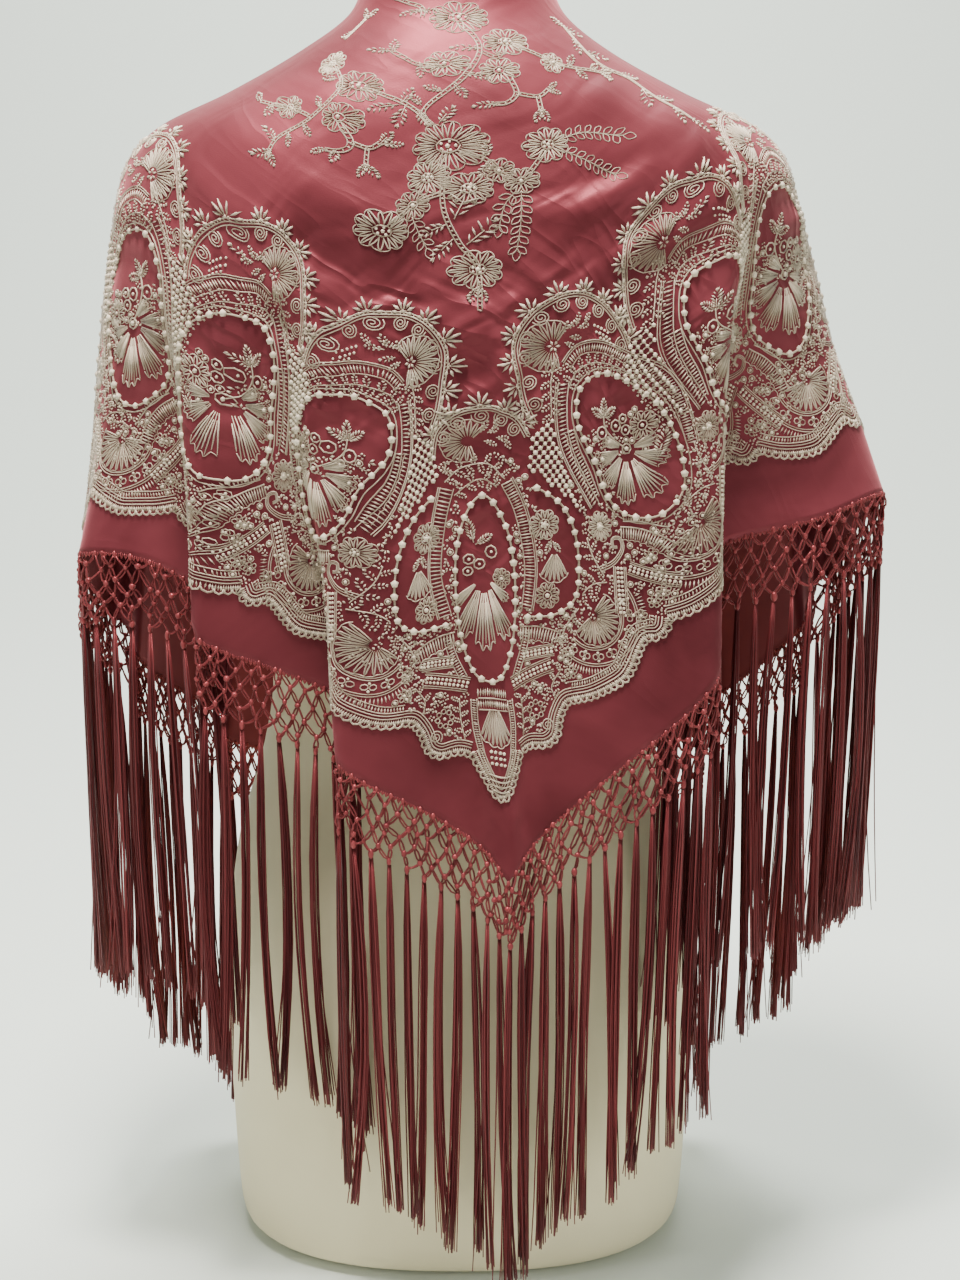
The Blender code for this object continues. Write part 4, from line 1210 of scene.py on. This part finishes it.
def buildEmbroidery(name, works, rng, low, high):
    # low and high bound this piece's share of the pattern, left to right on the cut
    stitches = np.concatenate([s for w in works for s in w["stitches"]])
    beads = np.concatenate([b for w in works for b in w["beads"]])
    lines = [line for w in works for line in w["lines"]]

    def wanted(x, y):
        return (x >= low) & (x < high) & (y < 62.2) & (y * legX - np.abs(x) * legY > 0.6)

    stitches = stitches[wanted((stitches[:, 0] + stitches[:, 2]) / 2, np.maximum(stitches[:, 1], stitches[:, 3]))]
    beads = beads[wanted(beads[:, 0], beads[:, 1])]
    lines = [(path, r) for path, r in lines if wanted(path[:, 0].mean(), path[:, 1].max())]
    shift = rng.normal(0, threadLook["shift"], (len(stitches), 2))
    stitches[:, 0:4] += np.concatenate([shift, shift[:, ::-1]], axis=1)
    thinnest, thickest = 1 - threadLook["uneven"], 1 + threadLook["uneven"]
    stitches[:, 4] *= rng.uniform(thinnest, thickest, len(stitches)) / 1000
    short = np.hypot(*(stitches[:, 2:4] - stitches[:, 0:2]).T) < threadLook["grain"]
    grains, stitches = stitches[short], stitches[~short]
    share = np.array([0.0, 0.5, 1.0])[None, :, None]
    flat = [(stitches[:, None, 0:2] * (1 - share) + stitches[:, None, 2:4] * share).reshape(-1, 2)]
    path = [np.repeat(np.arange(len(stitches)), 3)]
    radius = [(stitches[:, 4:] * threadLook["stitchShape"]).ravel()]
    tone = [np.repeat(rng.uniform(0.25, 0.9, len(stitches)), 3)]
    for i, (line, thick) in enumerate(lines):
        flat.append(line)
        path.append(np.full(len(line), len(stitches) + i))
        radius.append(np.full(len(line), thick / 1000))
        tone.append(np.full(len(line), rng.uniform(0.2, 0.7)))
    flat, path, radius, tone = (np.concatenate(rows) for rows in (flat, path, radius, tone))
    points, normal = onCloth(flat)
    arch = np.zeros(len(points))
    arch[1 : 3 * len(stitches) : 3] = threadLook["arch"] / 1000  # a stitch stands highest in its middle
    points = points + normal * (0.0001 + arch)[:, None]
    side = unit(np.cross(normal, pathTangents(points, path)))
    verts, faces = tubeParts(points, path, side, normal, radius, np.array(threadLook["profile"]))
    grainVerts, grainFaces = grainParts(grains, len(verts))
    size = beads[:, 2] * rng.uniform(thinnest, thickest, len(beads)) / 1000
    domeVerts, domeFaces = domeParts(beads, size, len(verts) + len(grainVerts))
    piece = makeMesh(name, np.concatenate([verts, grainVerts, domeVerts]), [*faces, grainFaces, *domeFaces], cream)
    grainTone = np.repeat(rng.uniform(0.25, 0.95, len(grains)), 5)
    beadTone = np.repeat(rng.uniform(0.6, 1.0, len(beads)), 2 * threadLook["dome"] + 1)
    setTone(piece, np.concatenate([np.repeat(tone, 3), grainTone, beadTone]))
    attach(piece, "root")
    return piece


patternWorks = borderWorks()
for name, low, high in (("embroideryFarLeft", -99, -21), ("embroideryLeft", -21, -6), ("embroideryMiddle", -6, 4.5),
                        ("embroideryRight", 4.5, 20), ("embroideryFarRight", 20, 99)):
    buildEmbroidery(name, patternWorks, np.random.default_rng(len(name)), low, high)


# Net: cords cross between rows of knots, and the lowest knots gather into the tassels
netLook = {
    "cells": 86, "rows": (0.0, 0.0085, 0.0180, 0.0275, 0.0370), "cordRadius": 0.00074, "twist": 0.0011, "bow": 0.0009,
    "sag": (0.0004, 0.0024), "placeShift": 0.0016, "dropShift": 0.0013, "knotWidth": 0.0020, "knotHalf": 0.0019,
    "lowKnotHalf": 0.0029, "knotShape": np.array([0.5, 1.0, 0.95, 0.5]), "hemLoops": 290, "loopRadius": 0.00078,
    "loopPlaces": np.array([-0.0011, -0.0006, 0.0, 0.0006, 0.0011]),
    "loopDrops": np.array([-0.0010, 0.0006, 0.0016, 0.0006, -0.0010]),
}
hemMiddle = (clothInner[-1] + clothOuter[-1]) / 2
hemOutward = unit(clothNormal[-1] * np.array([1, 1, 0]))


def onHem(place, drop):
    # place runs from -1 at the left front through 0 at the point to 1 at the right front; drop in metres
    column = (np.asarray(place) + 1) / 2 * (gridColumns - 1)
    i = np.clip(column.astype(int), 0, gridColumns - 2)
    d = (column - i)[..., None]
    points = hemMiddle[i] * (1 - d) + hemMiddle[i + 1] * d
    points[..., 2] -= seamGap + np.asarray(drop)
    return points, unit(hemOutward[i] * (1 - d) + hemOutward[i + 1] * d)


def tasselPlaces(way):
    # places of one side's tassels along the hem, as the hidden strands stand
    i = np.arange(tassels)
    return (i + 0.18) / tassels if way > 0 else -(tassels - i - 0.18) / tassels


def netKnots(way, rng):
    # places and drops of the knots, row by row, every second row half a cell on
    cells, places, drops = netLook["cells"], [], []
    for row, drop in enumerate(netLook["rows"]):
        place = (np.arange(cells + 1) + (0.5 if row % 2 else 0.0))[: cells + (row + 1) % 2] / cells
        places.append(np.clip(place + rng.normal(0, netLook["placeShift"], len(place)), 0, 1) * way)
        drops.append(drop + rng.normal(0, netLook["dropShift"], len(place)) * (row > 0))
    return places, drops


def netEnds(places, drops, heads):
    # each knot is joined to its two neighbours in the next row, and the lowest ones to the tassels
    ends = []
    last = len(places) - 1
    for row in range(last):
        for i in range(len(places[row])):
            for step in (0, 1) if row % 2 else (-1, 0):
                if 0 <= i + step < len(places[row + 1]):
                    ends.append((places[row][i], drops[row][i], places[row + 1][i + step], drops[row + 1][i + step]))
    for place, drop in zip(places[last], drops[last]):
        for head in np.argsort(np.abs(heads - place))[:2]:
            if abs(heads[head] - place) < 1.05 / netLook["cells"]:
                ends.append((place, drop, heads[head], netDrop - 0.0015))
    return np.array(ends)


def buildNet(name, way, rng):
    places, drops = netKnots(way, rng)
    heads = tasselPlaces(way)
    ends = netEnds(places, drops, heads)
    count = len(ends)
    # cords: place and drop = start + (end - start) * t + sag * sin(t * pi), two turns of thread to a cord
    share = np.linspace(0, 1, 4)[None]
    swell = np.sin(share * math.pi)
    sag = rng.uniform(*netLook["sag"], (count, 1))
    middles = []
    for side in (-1, 1):
        place = ends[:, :1] + (ends[:, 2:3] - ends[:, :1]) * share
        drop = ends[:, 1:2] + (ends[:, 3:4] - ends[:, 1:2]) * share + sag * swell
        points, outward = onHem(place, drop)
        twist = swell * netLook["twist"] * side
        phase = rng.uniform(0, 1, (count, 1))
        bow = rng.normal(0, netLook["bow"], (count, 1)) * swell
        along = np.cross(outward, np.array([0, 0, 1.0]))
        forward = twist * (phase - 0.5) * 1.6 + bow
        middles.append(points + along * (twist + bow * 0.6)[..., None] + outward * forward[..., None])
    tone = rng.uniform(0.35, 0.8, (2 * count, 1))
    outward = np.concatenate([outward, outward])
    cords = hangingTubes(f"{name}Cords", np.concatenate(middles), outward, netLook["cordRadius"], tone, 4, cord)
    # knots: a swelling from 4 rings, larger where the tassels begin
    place = np.concatenate([*places, heads])
    drop = np.concatenate([*drops, np.full(len(heads), netDrop)])
    low = np.arange(len(place)) >= len(place) - len(heads)
    tall = np.where(low, netLook["lowKnotHalf"], netLook["knotHalf"]) * rng.uniform(0.85, 1.2, len(place))
    drop = drop[:, None] + tall[:, None] * np.linspace(-1, 1, 4)[None]
    points, outward = onHem(np.repeat(place[:, None], 4, 1), drop)
    radius = netLook["knotWidth"] * rng.uniform(0.8, 1.2, (len(place), 1)) * netLook["knotShape"]
    radius[: netLook["cells"] + 1] *= 0.75  # the loops at the hem are smaller
    # painted highlight: knots take a lighter tone (0.5 to 1.1) than the cords (0.35 to 0.8), so they read as lit lumps
    knots = hangingTubes(f"{name}Knots", points, outward, radius, rng.uniform(0.5, 1.1, (len(place), 1)), 6, cord)
    # hem loops: short arcs of thread that bind the edge
    loops = netLook["hemLoops"]
    at = (np.arange(loops) + 0.5)[:, None] / loops * 0.985 + 0.006
    drop = netLook["loopDrops"] * rng.uniform(0.85, 1.4, (loops, 1))
    points, outward = onHem((at + netLook["loopPlaces"]) * way, drop)
    tone = rng.uniform(0.5, 1.0, (loops, 1))
    hemLoops = hangingTubes(f"{name}HemLoops", points, outward, netLook["loopRadius"], tone, 4, cord)
    for piece in (cords, knots, hemLoops):
        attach(piece, "root")
        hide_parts(f"net_{name[3:].lower()}")
    return [cords, knots, hemLoops]


fringeLook = {
    "threads": 20, "points": 8, "radius": 0.00056, "spread": 0.0031, "lean": 0.0045, "bow": 0.0030,
    "tasselLength": 0.0022, "threadLength": 0.0030, "longest": 0.006,  # spread of lengths, most past the mean
    "fray": 0.0011, "stray": 0.006, "strays": 0.07, "ripple": 0.0004,  # strays is the share that stands far off
}


def buildFringe(name, way, rng):
    # a thread's path: head + spread * opened(t) + (lean + loose) * t^2 + bow * sin(t * pi), hanging strandLength
    look, heads = fringeLook, tasselPlaces(way)
    count, threads, steps = len(heads), look["threads"], look["points"]
    top, outward = onHem(heads, netDrop + stripGap)
    along = np.cross(outward, np.array([0, 0, 1.0]))
    t = np.linspace(0, 1, steps)
    full = strandLength + stripDrop
    length = full + rng.normal(0, look["tasselLength"], (count, 1))
    length = length + rng.normal(0, look["threadLength"], (count, threads))
    length = np.minimum(length, full + look["longest"])
    angle = rng.uniform(0, 2 * math.pi, (count, threads))
    reach = np.sqrt(rng.uniform(0, 1, (count, threads))) * look["spread"]
    opened = 0.35 + 0.65 * np.minimum(t * 5, 1) ** 0.7
    sideways = (reach * np.cos(angle))[..., None] * opened
    depth = (reach * np.sin(angle) * 0.75)[..., None] * opened
    lean = rng.normal(0, look["lean"], (count, 1, 2))
    bow = rng.normal(0, look["bow"], (count, 1, 2))
    loose = rng.normal(0, look["fray"], (count, threads, 2))
    stray = rng.normal(0, look["stray"], (count, threads, 2))
    loose = loose + stray * (rng.random((count, threads, 1)) < look["strays"])
    curve = np.sin(t * math.pi)
    sideways = sideways + (lean[..., 0] + loose[..., 0])[..., None] * t**2 + bow[..., :1] * curve
    depth = depth + (lean[..., 1] * 0.6 + loose[..., 1])[..., None] * t**2 + bow[..., 1:] * curve * 0.5
    phase = rng.uniform(0, 2 * math.pi, (count, threads, 1))
    sideways = sideways + look["ripple"] * np.sin(t * 11 + phase) * t
    points = top[:, None, None] + along[:, None, None] * sideways[..., None] + outward[:, None, None] * depth[..., None]
    points[..., 2] -= length[..., None] * t
    tone = rng.uniform(0.05, 0.55, (count, threads, 1)) + rng.normal(0, 0.08, (count, 1, 1))
    tone = np.clip(tone, 0, 1).reshape(-1, 1)
    radius = look["radius"] * (1 - 0.25 * t**4)[None]
    out = np.repeat(outward, threads, 0)[:, None]
    piece = hangingTubes(name, points.reshape(-1, steps, 3), out, radius, tone, 3, cord)
    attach(piece, "root")
    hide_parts(f"fringe_{name[6:].lower()}")
    return piece


def buildHem():
    # the rolled hem of the long side: a round profile carried along the middle of the wall's top edge
    middle = (clothInner[0] + clothOuter[0]) / 2
    piece = hangingTubes("clothHem", middle[None], clothNormal[0], clothLook["hemRoll"], clothLook["hemTone"], 8, satin)
    setUv(piece, np.repeat(np.stack([placeX[0], placeY[0]], axis=1), 8, axis=0))
    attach(piece, "root")
    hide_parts("shawl_cloth")
    return piece


hem = buildHem()
nets, fringes = [], []
for name, way in (("Left", -1), ("Right", 1)):
    nets += buildNet("net" + name, way, np.random.default_rng(21 + way))
    fringes.append(buildFringe("fringe" + name, way, np.random.default_rng(31 + way)))
print("net and fringe", [len(p.data.polygons) for p in nets + fringes])


# Dress form
formLook = {
    "columns": 96, "shoulderGap": 0.006, "restGap": 0.0005, "shoulderStart": 4.667,
    "neckRound": 0.107, "neckDrop": 0.006, "dark": (0.66, 0.575, 0.355), "light": (0.80, 0.715, 0.475),
    "shader": {"Roughness": 0.75, "Sheen Weight": 0.2},
}
formRings = (
    Ring(0.150, 0.150, 0.101, 0.101, 0.000, 0.000, 0.000),
    Ring(0.162, 0.162, 0.113, 0.111, 0.006, 0.006, 0.006),
    Ring(0.168, 0.168, 0.119, 0.115, 0.022, 0.022, 0.022),
    Ring(0.1715, 0.1715, 0.124, 0.117, 0.100, 0.100, 0.100),
    Ring(0.173, 0.173, 0.126, 0.117, 0.200, 0.200, 0.200),
    Ring(0.162, 0.162, 0.117, 0.110, 0.300, 0.300, 0.300),
    Ring(0.142, 0.142, 0.099, 0.098, 0.370, 0.370, 0.370),
    Ring(0.1335, 0.1335, 0.090, 0.092, 0.430, 0.430, 0.430),
    Ring(0.142, 0.142, 0.095, 0.105, 0.515, 0.515, 0.515),
    Ring(0.154, 0.154, 0.104, 0.117, 0.590, 0.590, 0.590),
    Ring(0.166, 0.166, 0.112, 0.110, 0.655, 0.660, 0.650),
    Ring(0.193, 0.193, 0.121, 0.112, 0.700, 0.722, 0.688),
)
neckRing = Ring(0.0545, 0.0545, 0.0560, 0.0560, 0.948, 0.948, 0.948)


def buildForm(material):
    # oval rings up to the shoulders, then the cloth's own rings moved in by a gap, then a rounded neck
    columns = formLook["columns"]
    angle = np.radians(np.arange(columns) * 360 / columns - 180)
    lower = np.array([ringPoints(angle, r, ringHeight(angle, r)) for r in formRings])
    rings = np.array([ringPoints(angle, r, ringHeight(angle, r)) for r in shoulderRings])
    shoulderAt = np.linspace(formLook["shoulderStart"], 0, 22)
    shoulder = smoothRows(rings, shoulderAt)
    closed = np.concatenate([shoulder[:, -1:], shoulder, shoulder[:, :1]], axis=1)
    gap = formLook["restGap"] + (formLook["shoulderGap"] - formLook["restGap"]) * eased(shoulderAt / 5.2)
    shoulder = shoulder + gap[:, None, None] * gridNormals(closed)[:, 1:-1]
    turn = np.radians(np.linspace(0, 90, 5))[:, None, None]
    rounded = np.repeat(ringPoints(angle, neckRing, ringHeight(angle, neckRing))[None], 5, 0)
    rounded[..., :2] *= 1 - formLook["neckRound"] * (1 - np.cos(turn))
    rounded[..., 2] -= formLook["neckDrop"] * (1 - np.sin(turn[..., 0]))
    below = smoothRows(np.concatenate([lower[1:], shoulder[:1]]), np.linspace(0, len(lower) - 1, 60))
    sections = np.concatenate([lower[:1], below[:-1], shoulder, rounded])
    index = np.arange(len(sections) * columns).reshape(-1, columns)
    wall = joinRings(index[:-1, :1], columns)
    piece = makeMesh("dressForm", sections.reshape(-1, 3), [wall, index[:1, ::-1], index[-1:]], material)
    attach(piece, "root")
    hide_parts("dress_form")
    return piece


def formMaterial():
    # cream jersey with soft cloudy tone and a fine knit
    material, tree, shader = newMaterial("creamJersey", formLook["shader"])
    place = addNode(tree, "TexCoord", {}).outputs["Object"]
    cloud = addNoise(tree, place, 11.0, 4.0)
    tint = addTint(tree, cloud, formLook["dark"], formLook["light"])
    bump = addNode(tree, "Bump", {"Height": addNoise(tree, place, 900.0, 2.0), "Strength": 0.25, "Distance": 0.0004})
    joinShader(tree, shader, tint, bump)
    return material


form = buildForm(formMaterial())
print("dress form", len(form.data.polygons))


# Stage: a plain pale floor that sweeps up behind, and soft studio lights
stageLook = {"colour": (0.70, 0.75, 0.68, 1), "roughness": 0.9, "width": 14.0, "back": 4.4, "front": -5.0, "turn": 2.4,
             "height": 7.0, "below": 0.0006, "air": (0.79, 0.84, 0.79, 1), "airStrength": 0.45}
Lamp = namedtuple("Lamp", "name place aim size power colour")
lamps = (
    Lamp("key", (-0.15, -0.32, 1.95), (0, -0.05, 0.70), 0.40, 67, (1.0, 0.96, 0.925)),
    Lamp("fill", (1.7, -1.6, 1.2), (0, 0, 0.5), 1.2, 12, (0.97, 0.99, 1.0)),
    Lamp("side", (-1.7, -1.3, 1.1), (0, 0, 0.5), 1.0, 8, (0.97, 0.99, 1.0)),
    Lamp("back", (0.3, 1.0, 2.3), (0, 0, 0.8), 0.8, 20, (1, 1, 1)),
    Lamp("wall", (0.0, 1.8, 4.2), (0, 3.6, 0.6), 3.0, 330, (1, 1, 1)),
)


def buildStage():
    # a level floor, a quarter circle and an upright wall, carried across the width
    turn = np.radians(np.linspace(0, 90, 25))
    bend, back = stageLook["turn"], stageLook["back"]
    y = np.concatenate([[stageLook["front"]], back - bend + bend * np.sin(turn), [back]])
    z = np.concatenate([[0], bend * (1 - np.cos(turn)), [stageLook["height"]]]) - stageLook["below"]
    half = stageLook["width"] / 2
    line = np.stack([np.zeros_like(y), y, z], axis=1)
    points = np.concatenate([line - [half, 0, 0], line + [half, 0, 0]])
    i = np.arange(len(y) - 1)
    faces = np.stack([i, i + len(y), i + len(y) + 1, i + 1], axis=1)
    material = newMaterial("paleStage", {"Base Color": stageLook["colour"], "Roughness": stageLook["roughness"]})[0]
    floor = makeMesh("floor", points, [faces], material)


def addLight(row):
    # a soft round lamp turned so that it shines from its place to its aim
    data = bpy.data.lights.new(row.name, "AREA")
    data.shape = "DISK"
    data.size, data.energy, data.color = row.size, row.power, row.colour
    lamp = bpy.data.objects.new(row.name, data)
    lamp.location = row.place
    away = unit(np.array(row.place, float) - np.array(row.aim, float))
    flat = math.hypot(away[0], away[1])
    lamp.rotation_euler = (math.atan2(flat, away[2]), 0, math.atan2(away[0], -away[1]))
    scene.collection.objects.link(lamp)


buildStage()
for row in lamps:
    addLight(row)
world = bpy.data.worlds.new("soft")
world.use_nodes = True
air = world.node_tree.nodes["Background"]
air.inputs[0].default_value = stageLook["air"]
air.inputs[1].default_value = stageLook["airStrength"]
scene.world = world
print("stage ready")
